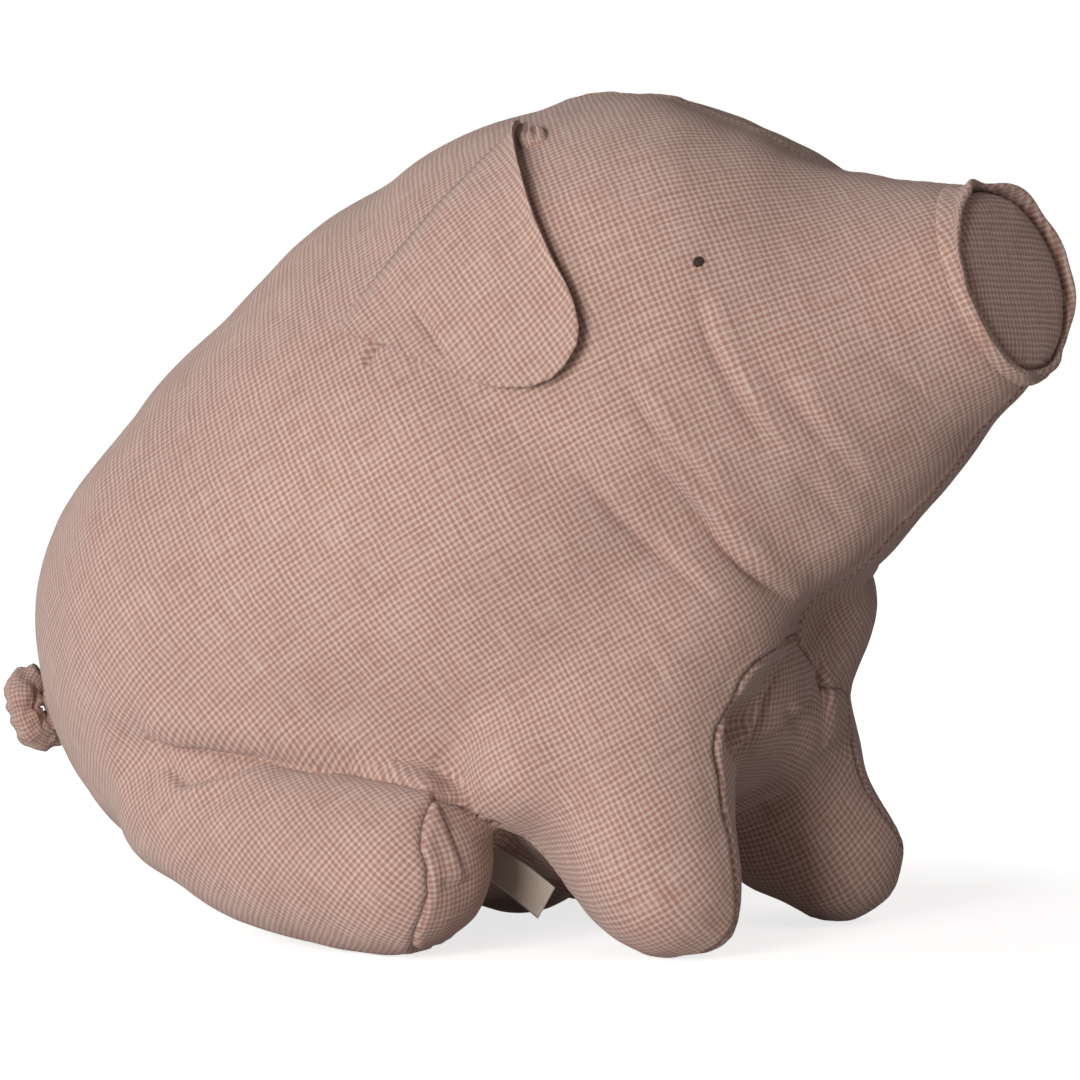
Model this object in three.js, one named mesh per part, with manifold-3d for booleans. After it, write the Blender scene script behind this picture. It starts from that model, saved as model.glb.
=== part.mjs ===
// A big sitting plush pig in small-check cotton: a stuffed body and head, four stuffed legs,
// two folded ear flaps, a curled tail, a sunk snout panel inside a turned-out seam flange,
// two stitched knot eyes and a bare sewn-in tag. Millimetres, +Z up, +X towards the snout,
// +Y towards the pig's left. The origin is on the floor under the middle of its bounding box.

import * as THREE from 'three';
import Module from 'manifold-3d';
import { mergeVertices } from 'three/addons/utils/BufferGeometryUtils.js';

const wasm = await Module();
wasm.setup();

// Stuffed body and head
const pigLength = 560;
const pigHeight = 420;
const pigWidth = 310;
const rumpRound = 130;
const shoulderRound = 130;
const napeRound = 60;
const snoutRound = 3;

// Cloth and seams
const seatClearance = 0.3;
const floorPress = 0.5;
const overrun = 600;

// Front legs
const frontLegSpacing = 172;
const frontLegDepth = 104;
const frontLegWidth = 92;
const pawStride = 7;

// Hind legs
const hindLegSpacing = 238;
const hindLegHeight = 92;
const hindLegWidth = 96;

// Rounding of the legs, at the hip or shoulder and at the toes
const legRootRound = 34;
const toeRound = 32;

// Snout
const snoutRadius = 50;
const snoutTilt = THREE.MathUtils.degToRad(21);
const snoutPanelThickness = 4;
const snoutPanelCrown = 2;
const flangeWidth = 5;
const flangeProud = 11;
const flangePinch = 4;

// Eyes
const eyeDiameter = 5.4;

// Ears
const earReach = 118;
const earThickness = 4.2;
const earLift = 2;
const earSeamLift = 1.3;

// Tail
const tailThickness = 17;
const tailTipThickness = 12;
const tailCurlRadius = 12.5;
const tailPitch = 24;
const tailNeck = 5;
const tailTurns = 1.4;

// Sewn-in tag
const tagWidth = 19;
const tagLength = 50;
const tagThickness = 1;

// Mesh fineness
const bodyRings = 22;
const headRings = 18;
const trunkSides = 28;
const snoutSides = 48;
const pinchSpreadShare = 0.2;
const legRings = 13;
const legSides = 18;
const crownSteps = 4;
const eyeSides = 12;
const eyeRings = 8;
const earColumns = 10;
const tailCurlSteps = 24;
const tailRings = 34;
const tailSides = 10;

function material(color, roughness) {
  return new THREE.MeshStandardMaterial({ color, roughness, metalness: 0 });
}

const clothMaterial = material(0xc4a094, 0.95);
const panelMaterial = material(0xb08b80, 0.95);
const eyeMaterial = material(0x35221c, 0.7);
const tagMaterial = material(0xd9d2c8, 0.6);

// A closed skin over rings of points with equal counts, with a point at each end.
function skinOverRings(rings, startPoint, endPoint) {
  const sides = rings[0].length;
  const points = [startPoint, ...rings.flat(), endPoint];
  const faces = [];
  const at = (ring, side) => 1 + ring * sides + (side % sides);
  for (let side = 0; side < sides; side += 1) {
    faces.push(0, at(0, side + 1), at(0, side));
    for (let ring = 0; ring + 1 < rings.length; ring += 1) {
      faces.push(at(ring, side), at(ring, side + 1), at(ring + 1, side + 1));
      faces.push(at(ring, side), at(ring + 1, side + 1), at(ring + 1, side));
    }
    faces.push(points.length - 1, at(rings.length - 1, side), at(rings.length - 1, side + 1));
  }
  const geometry = new THREE.BufferGeometry().setFromPoints(points);
  geometry.setIndex(faces);
  return geometry;
}

// A stuffed form: rings round a smooth spine, swelling and tapering, with rounded ends.
// Each station holds a point of the spine and the half sizes across it. A form that is
// grown by a clearance is the same form with its skin moved outwards.
function stuffedForm({ stations, startRound, endRound, rings, sides }, grown = 0) {
  const spine = new THREE.CatmullRomCurve3(stations.map((station) => station.centre));
  const sizes = new THREE.CatmullRomCurve3(
    stations.map((station) => new THREE.Vector3(station.halfUp, station.halfSide, 0)),
  );
  const length = spine.getLength();
  const sectionAt = (along) => {
    const share = THREE.MathUtils.clamp(along / length, 0, 1);
    const forward = spine.getTangentAt(share);
    const centre = spine.getPointAt(share).addScaledVector(forward, along - share * length);
    const side = new THREE.Vector3(0, 1, 0).addScaledVector(forward, -forward.y).normalize();
    const up = new THREE.Vector3().crossVectors(forward, side);
    return { centre, side, up, size: sizes.getPoint(spine.getUtoTmapping(share)) };
  };
  const roundness = (distance, round) => {
    const reach = Math.max(0, 1 - distance / (round + grown));
    return Math.sqrt(1 - reach * reach);
  };
  const skin = [];
  for (let ring = 1; ring < rings; ring += 1) {
    const share = 0.5 - 0.5 * Math.cos((Math.PI * ring) / rings);
    const along = share * (length + 2 * grown) - grown;
    const { centre, side, up, size } = sectionAt(along);
    const taper = roundness(along + grown, startRound) * roundness(length + grown - along, endRound);
    const points = [];
    for (let step = 0; step < sides; step += 1) {
      const angle = (2 * Math.PI * step) / sides;
      points.push(
        centre.clone()
          .addScaledVector(side, Math.cos(angle) * taper * (size.y + grown))
          .addScaledVector(up, Math.sin(angle) * taper * (size.x + grown)),
      );
    }
    skin.push(points);
  }
  return skinOverRings(skin, sectionAt(-grown).centre, sectionAt(length + grown).centre);
}

function solid(geometry) {
  const bare = geometry.clone();
  bare.deleteAttribute('normal');
  bare.deleteAttribute('uv');
  const merged = mergeVertices(bare);
  return new wasm.Manifold(new wasm.Mesh({
    numProp: 3,
    vertProperties: new Float32Array(merged.attributes.position.array),
    triVerts: new Uint32Array(merged.index.array),
  }));
}

function piece(name, body, pieceMaterial) {
  const { vertProperties, triVerts } = body.getMesh();
  const geometry = new THREE.BufferGeometry();
  geometry.setAttribute('position', new THREE.BufferAttribute(new Float32Array(vertProperties), 3));
  geometry.setIndex(new THREE.BufferAttribute(new Uint32Array(triVerts), 1));
  geometry.computeVertexNormals();
  const made = new THREE.Mesh(geometry, pieceMaterial);
  made.name = name;
  return made;
}

function place(alongShare, acrossShare, heightShare) {
  return new THREE.Vector3(
    alongShare * pigLength, acrossShare * pigWidth, heightShare * pigHeight,
  );
}

// Body from the rump to the shoulders, and head from the nape to the snout.
// Along, height and half height are shares of the pig's length and height,
// half width is a share of its width.
const bodyShares = [
  { along: -0.484, height: 0.330, halfHeight: 0.300, halfWidth: 0.400 },
  { along: -0.400, height: 0.340, halfHeight: 0.320, halfWidth: 0.440 },
  { along: -0.312, height: 0.358, halfHeight: 0.346, halfWidth: 0.475 },
  { along: -0.196, height: 0.395, halfHeight: 0.381, halfWidth: 0.495 },
  { along: -0.075, height: 0.466, halfHeight: 0.414, halfWidth: 0.490 },
  { along: 0.046, height: 0.563, halfHeight: 0.418, halfWidth: 0.455 },
  { along: 0.140, height: 0.645, halfHeight: 0.375, halfWidth: 0.405 },
  { along: 0.235, height: 0.700, halfHeight: 0.290, halfWidth: 0.330 },
];
const headShares = [
  { along: -0.060, height: 0.550, halfHeight: 0.350, halfWidth: 0.420 },
  { along: 0.030, height: 0.622, halfHeight: 0.352, halfWidth: 0.415 },
  { along: 0.115, height: 0.666, halfHeight: 0.333, halfWidth: 0.400 },
  { along: 0.217, height: 0.678, halfHeight: 0.290, halfWidth: 0.365 },
  { along: 0.305, height: 0.701, halfHeight: 0.219, halfWidth: 0.290 },
  { along: 0.376, height: 0.738, halfHeight: 0.156, halfWidth: 0.210 },
];
const snoutSeatShare = { along: 0.440, across: 0, height: 0.767 };

function trunkStations(shares) {
  return shares.map((share) => ({
    centre: place(share.along, 0, share.height),
    halfUp: share.halfHeight * pigHeight,
    halfSide: share.halfWidth * pigWidth,
  }));
}

const snoutSeat = place(snoutSeatShare.along, snoutSeatShare.across, snoutSeatShare.height);
const snoutTurn = new THREE.Quaternion().setFromAxisAngle(new THREE.Vector3(0, 1, 0), -snoutTilt);
const snoutAxis = new THREE.Vector3(1, 0, 0).applyQuaternion(snoutTurn);
const snoutEnd = { centre: snoutSeat, halfUp: snoutRadius, halfSide: snoutRadius };

const bodyForm = {
  stations: trunkStations(bodyShares),
  startRound: rumpRound,
  endRound: shoulderRound,
  rings: bodyRings,
  sides: trunkSides,
};
const headForm = {
  stations: [...trunkStations(headShares), snoutEnd],
  startRound: napeRound,
  endRound: snoutRound,
  rings: headRings,
  sides: trunkSides,
};

// Everything past a plane, as a block to cut with.
function blockBeyond(point, normal) {
  const block = new THREE.BoxGeometry(overrun, overrun, overrun);
  block.translate(0, 0, overrun / 2);
  block.applyQuaternion(
    new THREE.Quaternion().setFromUnitVectors(new THREE.Vector3(0, 0, 1), normal),
  );
  block.translate(point.x, point.y, point.z);
  return solid(block);
}

const belowFloor = blockBeyond(new THREE.Vector3(), new THREE.Vector3(0, 0, -1));

// A form lowered or raised until it presses into the floor a little, for the flat cut there.
function seatedOnFloor(form) {
  const bounds = new THREE.Box3().setFromBufferAttribute(stuffedForm(form).attributes.position);
  const drop = new THREE.Vector3(0, 0, -floorPress - bounds.min.z);
  const stations = form.stations.map((station) => (
    { ...station, centre: station.centre.clone().add(drop) }
  ));
  return { ...form, stations };
}

const seatedBodyForm = seatedOnFloor(bodyForm);
const body = solid(stuffedForm(seatedBodyForm)).subtract(belowFloor);
const bodyRoom = solid(stuffedForm(seatedBodyForm, seatClearance));
const head = solid(stuffedForm(headForm))
  .subtract(blockBeyond(snoutSeat, snoutAxis))
  .subtract(bodyRoom);
const headRoom = solid(stuffedForm(headForm, seatClearance));

// Legs. Places along and up are shares of the pig's length and height, across is a share
// of the pair's spacing, half sizes are shares of the leg's own sizes. Stride is the share
// of the stride that takes the left leg forward and the right leg back.
const frontLegShares = [
  { along: 0.182, across: 0.32, height: 0.470, halfUp: 0.70, halfSide: 0.58, stride: 0 },
  { along: 0.150, across: 0.37, height: 0.335, halfUp: 0.59, halfSide: 0.60, stride: 0.1 },
  { along: 0.148, across: 0.44, height: 0.226, halfUp: 0.55, halfSide: 0.55, stride: 0.15 },
  { along: 0.172, across: 0.48, height: 0.143, halfUp: 0.48, halfSide: 0.49, stride: 0.45 },
  { along: 0.208, across: 0.49, height: 0.067, halfUp: 0.38, halfSide: 0.41, stride: 1 },
  { along: 0.216, across: 0.49, height: 0, halfUp: 0.32, halfSide: 0.36, stride: 1 },
];
const hindLegShares = [
  { along: -0.300, across: 0.30, height: 0.185, halfUp: 0.50, halfSide: 0.50, stride: 0 },
  { along: -0.215, across: 0.43, height: 0.140, halfUp: 0.50, halfSide: 0.51, stride: 0 },
  { along: -0.107, across: 0.50, height: 0.116, halfUp: 0.50, halfSide: 0.52, stride: 0 },
  { along: -0.018, across: 0.54, height: 0.106, halfUp: 0.49, halfSide: 0.50, stride: 0 },
  { along: 0.066, across: 0.55, height: 0.102, halfUp: 0.43, halfSide: 0.46, stride: 0 },
];

function legForm(shares, spacing, depth, width, side) {
  const stations = shares.map((share) => ({
    centre: new THREE.Vector3(
      share.along * pigLength + side * share.stride * pawStride,
      side * share.across * spacing,
      share.height * pigHeight,
    ),
    halfUp: share.halfUp * depth,
    halfSide: share.halfSide * width,
  }));
  return seatedOnFloor({
    stations, startRound: legRootRound, endRound: toeRound, rings: legRings, sides: legSides,
  });
}

function leg(form) {
  return solid(stuffedForm(form)).subtract(belowFloor).subtract(bodyRoom).subtract(headRoom);
}

// Where a straight line first meets the stuffed body or head.
const trunkSkins = [stuffedForm(seatedBodyForm), stuffedForm(headForm)].map((skin) => (
  new THREE.Mesh(skin, new THREE.MeshBasicMaterial({ side: THREE.DoubleSide }))
));
function meetTrunk(from, direction) {
  const [hit] = new THREE.Raycaster(from, direction).intersectObjects(trunkSkins);
  return hit;
}

// Snout: the end panel sewn in behind a flange that stands proud all round, pinched
// where the top and bottom seams run into it.
function onSnout(geometry) {
  geometry.rotateZ(-Math.PI / 2);
  geometry.applyQuaternion(snoutTurn);
  geometry.translate(snoutSeat.x, snoutSeat.y, snoutSeat.z);
  return geometry;
}

function snoutPanel() {
  const radius = snoutRadius - flangeWidth - seatClearance;
  const front = seatClearance + snoutPanelThickness;
  const crown = new THREE.QuadraticBezierCurve(
    new THREE.Vector2(radius, front),
    new THREE.Vector2(radius / 2, front + snoutPanelCrown),
    new THREE.Vector2(0, front + snoutPanelCrown),
  ).getPoints(crownSteps);
  const profile = [new THREE.Vector2(0, seatClearance), new THREE.Vector2(radius, seatClearance)];
  const turned = new THREE.LatheGeometry([...profile, ...crown], snoutSides);
  return solid(onSnout(turned));
}

function snoutFlange() {
  const points = [];
  const faces = [];
  const inner = snoutRadius - flangeWidth;
  for (let step = 0; step < snoutSides; step += 1) {
    const angle = (2 * Math.PI * step) / snoutSides;
    const offSeam = Math.abs(Math.cos(angle));
    const pinch = flangePinch * Math.exp(-((offSeam / pinchSpreadShare) ** 2));
    const reach = flangeProud + pinch / 2;
    const section = [
      [inner, seatClearance],
      [snoutRadius + pinch / 4, seatClearance],
      [snoutRadius + pinch, reach - flangeWidth / 4],
      [snoutRadius + pinch - flangeWidth / 4, reach],
      [inner + pinch + flangeWidth / 4, reach],
      [inner + pinch / 2, reach - flangeWidth / 4],
    ];
    for (const [radius, proud] of section) {
      points.push(new THREE.Vector3(radius * Math.cos(angle), proud, radius * Math.sin(angle)));
    }
    for (let corner = 0; corner < section.length; corner += 1) {
      const next = (corner + 1) % section.length;
      const ahead = ((step + 1) % snoutSides) * section.length;
      const here = step * section.length;
      faces.push(here + corner, here + next, ahead + next);
      faces.push(here + corner, ahead + next, ahead + corner);
    }
  }
  const geometry = new THREE.BufferGeometry().setFromPoints(points);
  geometry.setIndex(faces);
  return solid(onSnout(geometry));
}

// Eyes: a stitched knot on each cheek, flat where it lies on the cloth.
const eyeShare = { along: 0.235, height: 0.790 };
function eye(side) {
  const from = place(eyeShare.along, side, eyeShare.height);
  const spot = meetTrunk(from, new THREE.Vector3(0, -side, 0)).point;
  const knot = new THREE.SphereGeometry(eyeDiameter / 2, eyeSides, eyeRings);
  knot.translate(spot.x, spot.y, spot.z);
  return solid(knot).subtract(headRoom);
}

// Ears: a flap folded down over the cheek from a slanting seam. The seam's two ends and the
// flap's tip are shares of the pig's length, width and height. The outline's rows run from
// the seam to the tip: how far out, and where the row starts and stops along the seam.
const earSeamTopShare = { along: 0.030, across: 0.171, height: 0.957 };
const earSeamFootShare = { along: -0.087, across: 0.404, height: 0.720 };
const earTipShare = { along: 0.136, across: 0.395, height: 0.673 };
const earEdgePower = 0.4;
const earEndThicknessShare = 0.7;
const earRowShares = [
  { out: 0, start: 0.005, stop: 0.985 },
  { out: 0.08, start: 0.06, stop: 1 },
  { out: 0.25, start: 0.19, stop: 0.985 },
  { out: 0.42, start: 0.28, stop: 0.955 },
  { out: 0.58, start: 0.36, stop: 0.915 },
  { out: 0.74, start: 0.43, stop: 0.855 },
  { out: 0.87, start: 0.48, stop: 0.785 },
  { out: 0.95, start: 0.53, stop: 0.73 },
  { out: 0.99, start: 0.58, stop: 0.68 },
];

function earFrame(side) {
  const ends = [earSeamTopShare, earSeamFootShare, earTipShare].map(
    (share) => place(share.along, side * share.across, share.height),
  );
  const [top, foot, tip] = ends;
  const seam = foot.clone().sub(top);
  const along = seam.clone().normalize();
  const toTip = tip.clone().sub(top);
  const out = toTip.addScaledVector(along, -toTip.dot(along)).normalize();
  const away = new THREE.Vector3().crossVectors(along, out).multiplyScalar(-side);
  return { top, along, out, away, seamLength: seam.length() };
}

// A closed sheet between two grids of points, one for each of its faces.
function sheetBetween(outer, inner) {
  const rows = outer.length;
  const columns = outer[0].length;
  const faces = [];
  const at = (row, column, skin) => skin * rows * columns + row * columns + column;
  const quad = (a, b, c, d) => faces.push(a, b, c, a, c, d);
  for (let row = 0; row + 1 < rows; row += 1) {
    for (let column = 0; column + 1 < columns; column += 1) {
      const [right, ahead] = [column + 1, row + 1];
      quad(at(row, column, 0), at(row, right, 0), at(ahead, right, 0), at(ahead, column, 0));
      quad(at(row, column, 1), at(ahead, column, 1), at(ahead, right, 1), at(row, right, 1));
    }
    const [last, ahead] = [columns - 1, row + 1];
    quad(at(row, 0, 0), at(ahead, 0, 0), at(ahead, 0, 1), at(row, 0, 1));
    quad(at(row, last, 0), at(row, last, 1), at(ahead, last, 1), at(ahead, last, 0));
  }
  for (let column = 0; column + 1 < columns; column += 1) {
    const [last, right] = [rows - 1, column + 1];
    quad(at(0, column, 0), at(0, column, 1), at(0, right, 1), at(0, right, 0));
    quad(at(last, column, 0), at(last, right, 0), at(last, right, 1), at(last, column, 1));
  }
  const geometry = new THREE.BufferGeometry().setFromPoints([...outer.flat(), ...inner.flat()]);
  geometry.setIndex(faces);
  return geometry;
}

function ear(side) {
  const { top, along, out, away, seamLength } = earFrame(side);
  const onTrunk = (alongShare, outShare, lift) => {
    const spot = top.clone()
      .addScaledVector(along, alongShare * seamLength)
      .addScaledVector(out, outShare * earReach)
      .addScaledVector(away, pigWidth);
    const hit = meetTrunk(spot, away.clone().negate());
    return hit.point.addScaledVector(away, lift);
  };
  const skin = (outward) => earRowShares.map((row, index) => {
    const points = [];
    for (let column = 0; column <= earColumns; column += 1) {
      const share = THREE.MathUtils.lerp(row.start, row.stop, column / earColumns);
      const inFromSides = Math.sin((Math.PI * (column + 0.5)) / (earColumns + 1)) ** earEdgePower;
      const atAnEnd = index === 0 || index === earRowShares.length - 1;
      const inFromEnds = atAnEnd ? earEndThicknessShare : 1;
      const half = (inFromSides * inFromEnds * earThickness) / 2;
      const lift = index === 0 ? earSeamLift : earLift;
      points.push(onTrunk(share, row.out, lift + earThickness / 2 + outward * half));
    }
    return side > 0 ? points.reverse() : points;
  });
  return solid(sheetBetween(skin(1), skin(-1)));
}

// Tail: a gathered cloth tube that curls out of the back seam like a corkscrew.
const tailHeightShare = 0.240;
const tailOpeningTurns = 1 / 3;
function tail() {
  const from = new THREE.Vector3(-pigLength, 0, tailHeightShare * pigHeight);
  const { point, face } = meetTrunk(from, new THREE.Vector3(1, 0, 0));
  const rootLength = tailThickness / 2;
  const seat = point.clone().addScaledVector(face.normal, rootLength + seatClearance);
  const start = seat.x + rootLength;
  const stations = [
    { centre: new THREE.Vector3(start, 0, seat.z), halfUp: rootLength, halfSide: rootLength },
  ];
  for (let step = 0; step <= tailCurlSteps; step += 1) {
    const share = step / tailCurlSteps;
    const angle = Math.PI / 2 + 2 * Math.PI * tailTurns * share;
    const opening = tailCurlRadius * Math.min(1, (share * tailTurns) / tailOpeningTurns);
    const radius = THREE.MathUtils.lerp(tailThickness, tailTipThickness, share) / 2;
    stations.push({
      centre: new THREE.Vector3(
        start - rootLength - tailNeck - share * tailTurns * tailPitch,
        -opening * Math.cos(angle),
        seat.z + opening * Math.sin(angle),
      ),
      halfUp: radius,
      halfSide: radius,
    });
  }
  return stuffedForm({
    stations,
    startRound: rootLength,
    endRound: tailTipThickness / 2,
    rings: tailRings,
    sides: tailSides,
  });
}

// Sewn-in tag: a bare folded ribbon that hangs out of the belly seam beside the hind foot.
const tagRootShare = { along: -0.006, across: -0.235, height: 0.116 };
const tagLean = THREE.MathUtils.degToRad(33);
const tagTwist = THREE.MathUtils.degToRad(12);
const tagRootRoom = 0.8;
function tag() {
  const ribbon = new THREE.BoxGeometry(tagLength, tagThickness, tagWidth);
  ribbon.translate(tagLength / 2, 0, 0);
  ribbon.rotateX(tagTwist);
  ribbon.rotateY(tagLean);
  const root = place(tagRootShare.along, tagRootShare.across, tagRootShare.height);
  ribbon.translate(root.x, root.y, root.z);
  return solid(ribbon).subtract(solid(stuffedForm(seatedBodyForm, tagRootRoom)));
}

const pig = new THREE.Group();
pig.add(piece('body', body, clothMaterial));
pig.add(piece('head', head, clothMaterial));
pig.add(piece('snout_panel', snoutPanel(), panelMaterial));
pig.add(piece('snout_flange', snoutFlange(), clothMaterial));
for (const [name, side] of [['right', -1], ['left', 1]]) {
  const frontForm = legForm(frontLegShares, frontLegSpacing, frontLegDepth, frontLegWidth, side);
  const hindForm = legForm(hindLegShares, hindLegSpacing, hindLegHeight, hindLegWidth, side);
  pig.add(piece(`front_leg_${name}`, leg(frontForm), clothMaterial));
  pig.add(piece(`hind_leg_${name}`, leg(hindForm), clothMaterial));
  pig.add(piece(`ear_${name}`, ear(side), clothMaterial));
  pig.add(piece(`eye_${name}`, eye(side), eyeMaterial));
}
pig.add(piece('tail', solid(tail()), clothMaterial));
pig.add(piece('care_tag', tag(), tagMaterial));

// The origin goes under the middle of the bounding box.
const middle = new THREE.Box3().setFromObject(pig).getCenter(new THREE.Vector3());
pig.position.set(-middle.x, -middle.y, 0);

export default pig;
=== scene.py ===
"""A sitting plush pig in small-check cotton. Every length is in metres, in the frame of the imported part:
+X towards the snout, +Y towards the pig's left side, +Z up, with the floor at 0."""

import math
from contextlib import contextmanager

import bmesh
import bpy
import numpy as np
import openvdb
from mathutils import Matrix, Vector, noise
from mathutils.bvhtree import BVHTree
from mathutils.kdtree import KDTree


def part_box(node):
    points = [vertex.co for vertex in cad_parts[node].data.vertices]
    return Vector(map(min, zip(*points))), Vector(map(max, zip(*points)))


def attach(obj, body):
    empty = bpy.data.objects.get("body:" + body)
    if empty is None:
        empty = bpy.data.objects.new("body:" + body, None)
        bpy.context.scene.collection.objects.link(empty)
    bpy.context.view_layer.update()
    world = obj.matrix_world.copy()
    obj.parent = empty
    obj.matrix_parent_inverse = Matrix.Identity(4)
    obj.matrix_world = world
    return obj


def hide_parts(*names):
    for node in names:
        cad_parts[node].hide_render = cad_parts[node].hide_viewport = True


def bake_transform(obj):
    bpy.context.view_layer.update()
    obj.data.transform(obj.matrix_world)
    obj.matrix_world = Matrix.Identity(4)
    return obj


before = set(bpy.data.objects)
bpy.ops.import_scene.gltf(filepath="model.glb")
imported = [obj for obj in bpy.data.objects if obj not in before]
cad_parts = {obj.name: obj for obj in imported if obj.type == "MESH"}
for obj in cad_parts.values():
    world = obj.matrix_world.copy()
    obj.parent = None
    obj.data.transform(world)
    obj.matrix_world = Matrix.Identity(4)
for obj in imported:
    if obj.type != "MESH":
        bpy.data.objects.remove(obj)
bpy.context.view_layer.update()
scene = bpy.context.scene
mm = 0.001

# Camera: looks at the pig's right side, turned towards the snout and a little from above.
photo_side_px = 1080
camera_turn = math.radians(26)
camera_rise = math.radians(2.6)
camera_distance = 2.6
camera_target = Vector((0.0191, 0, 0.1945))
pixels_per_metre = 2000
sensor_width_mm = 36


def camera_way():
    level = math.cos(camera_rise)
    return Vector((math.sin(camera_turn) * level, -math.cos(camera_turn) * level, math.sin(camera_rise)))


def add_camera():
    data = bpy.data.cameras.new("camera")
    data.sensor_width = sensor_width_mm
    data.lens = sensor_width_mm * pixels_per_metre * camera_distance / photo_side_px
    camera = bpy.data.objects.new("camera", data)
    camera.location = camera_target + camera_way() * camera_distance
    camera.rotation_euler = (-camera_way()).to_track_quat("-Z", "Y").to_euler()
    scene.collection.objects.link(camera)
    scene.camera = camera
    bpy.context.view_layer.update()
    return camera


camera = add_camera()


def ray_through(pixel):
    """The ray from the camera through a pixel of the photograph's frame: its start and its way."""
    focal_px = pixels_per_metre * camera_distance
    across = (pixel[0] - photo_side_px / 2) / focal_px
    up = (photo_side_px / 2 - pixel[1]) / focal_px
    way = camera.matrix_world.to_3x3() @ Vector((across, up, -1))
    return camera.location.copy(), way.normalized()


# Meshes, read as arrays and made from them
def read(items, field, width=1, kind=float):
    """One field of a mesh's items as an array, in rows where each item has several numbers."""
    values = np.empty(len(items) * width, dtype=np.float32 if kind is float else np.int32)
    items.foreach_get(field, values)
    values = values.astype(kind)
    return values.reshape(-1, width) if width > 1 else values


def mesh_points(mesh):
    return read(mesh.vertices, "co", 3)


def mesh_normals(mesh):
    return read(mesh.vertex_normals, "vector", 3)


def face_middles(mesh):
    return read(mesh.polygons, "center", 3)


def face_sizes(mesh):
    return read(mesh.polygons, "loop_total", kind=int)


def corner_vertices(mesh):
    return read(mesh.loops, "vertex_index", kind=int)


def node_arrays(name):
    """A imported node's vertices and triangles."""
    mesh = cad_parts[name].data
    mesh.calc_loop_triangles()
    return mesh_points(mesh), read(mesh.loop_triangles, "vertices", 3, int)


def set_points(mesh, points):
    mesh.vertices.foreach_set("co", np.ascontiguousarray(points, dtype=np.float32).ravel())
    mesh.update()


def tree_of(points, faces):
    return BVHTree.FromPolygons([tuple(p) for p in points], [tuple(f) for f in faces])


def mesh_tree(mesh):
    return tree_of(mesh_points(mesh), [face.vertices for face in mesh.polygons])


@contextmanager
def reworked(mesh):
    """The mesh open for work on its faces, and put back after it."""
    work = bmesh.new()
    work.from_mesh(mesh)
    yield work
    work.to_mesh(mesh)
    work.free()


def make_smooth(mesh):
    mesh.polygons.foreach_set("use_smooth", [True] * len(mesh.polygons))


def spots_seen(pixels, tree):
    """Where the rays through these pixels meet a surface."""
    spots = []
    for pixel in pixels:
        hit = tree.ray_cast(*ray_through(pixel))[0]
        if hit is not None:
            spots.append(np.array(hit))
    return np.array(spots)


def add_piece(name, points, faces, smooth=True):
    mesh = bpy.data.meshes.new(name)
    mesh.from_pydata([tuple(p) for p in points], [], [tuple(f) for f in faces])
    mesh.update()
    if smooth:
        make_smooth(mesh)
    piece = bpy.data.objects.new(name, mesh)
    scene.collection.objects.link(piece)
    return piece


def unit(ways):
    return ways / np.linalg.norm(ways, axis=-1, keepdims=True)


def bell(values, middle, width):
    """1 at the middle, falling smoothly to 0 on both sides."""
    return np.exp(-(((values - middle) / width) ** 2))


def mirrored(spots):
    return spots * np.array([1, -1, 1])


def on_side(side, points, faces):
    """A piece of the right side as it is, or mirrored to the left."""
    if side < 0:
        return points, faces
    return mirrored(points), [tuple(reversed(face)) for face in faces]


def steps_round(count):
    return [2 * math.pi * step / count for step in range(count)]


def run_along(points):
    """How far along a line of points each one is."""
    return np.concatenate([[0], np.cumsum(np.linalg.norm(np.diff(points, axis=0), axis=1))])


# Materials
check_period = 2.85 * mm
light_thread = (0.60, 0.458, 0.39, 1)
dark_thread = (0.36, 0.180, 0.137, 1)
white = (1, 1, 1, 1)


class Nodes:
    """Fills a node tree: each call adds a node and returns its output."""

    def __init__(self, owner):
        owner.use_nodes = True
        self.tree = owner.node_tree
        self.tree.nodes.clear()

    def add(self, kind, inputs=None, output=0, **settings):
        node = self.tree.nodes.new(kind)
        for name, value in settings.items():
            setattr(node, name, value)
        for key, value in (inputs or {}).items():
            if isinstance(value, bpy.types.NodeSocket):
                self.tree.links.new(value, node.inputs[key])
            else:
                node.inputs[key].default_value = value
        return node.outputs[output]

    def math(self, operation, first, second=0.0, third=0.0):
        return self.add("ShaderNodeMath", {0: first, 1: second, 2: third}, operation=operation)

    def vector(self, operation, inputs, output=0):
        return self.add("ShaderNodeVectorMath", inputs, output, operation=operation)

    def noise(self, place, scale, detail, output="Fac"):
        return self.add("ShaderNodeTexNoise", {"Vector": place, "Scale": scale, "Detail": detail}, output)

    def ease(self, value, start, end, low=0.0, high=1.0):
        """From the low value to the high one as the input goes from start to end, with soft ends."""
        inputs = {"Value": value, "From Min": start, "From Max": end, "To Min": low, "To Max": high}
        return self.add("ShaderNodeMapRange", inputs, interpolation_type="SMOOTHSTEP")

    def mix_colour(self, share, first, second, blend="MIX"):
        inputs = {0: share, 6: first, 7: second}
        return self.add("ShaderNodeMix", inputs, 2, data_type="RGBA", blend_type=blend)

    def finish(self, surface, kind="ShaderNodeOutputMaterial"):
        self.tree.links.new(surface, self.tree.nodes.new(kind).inputs["Surface"])


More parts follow.
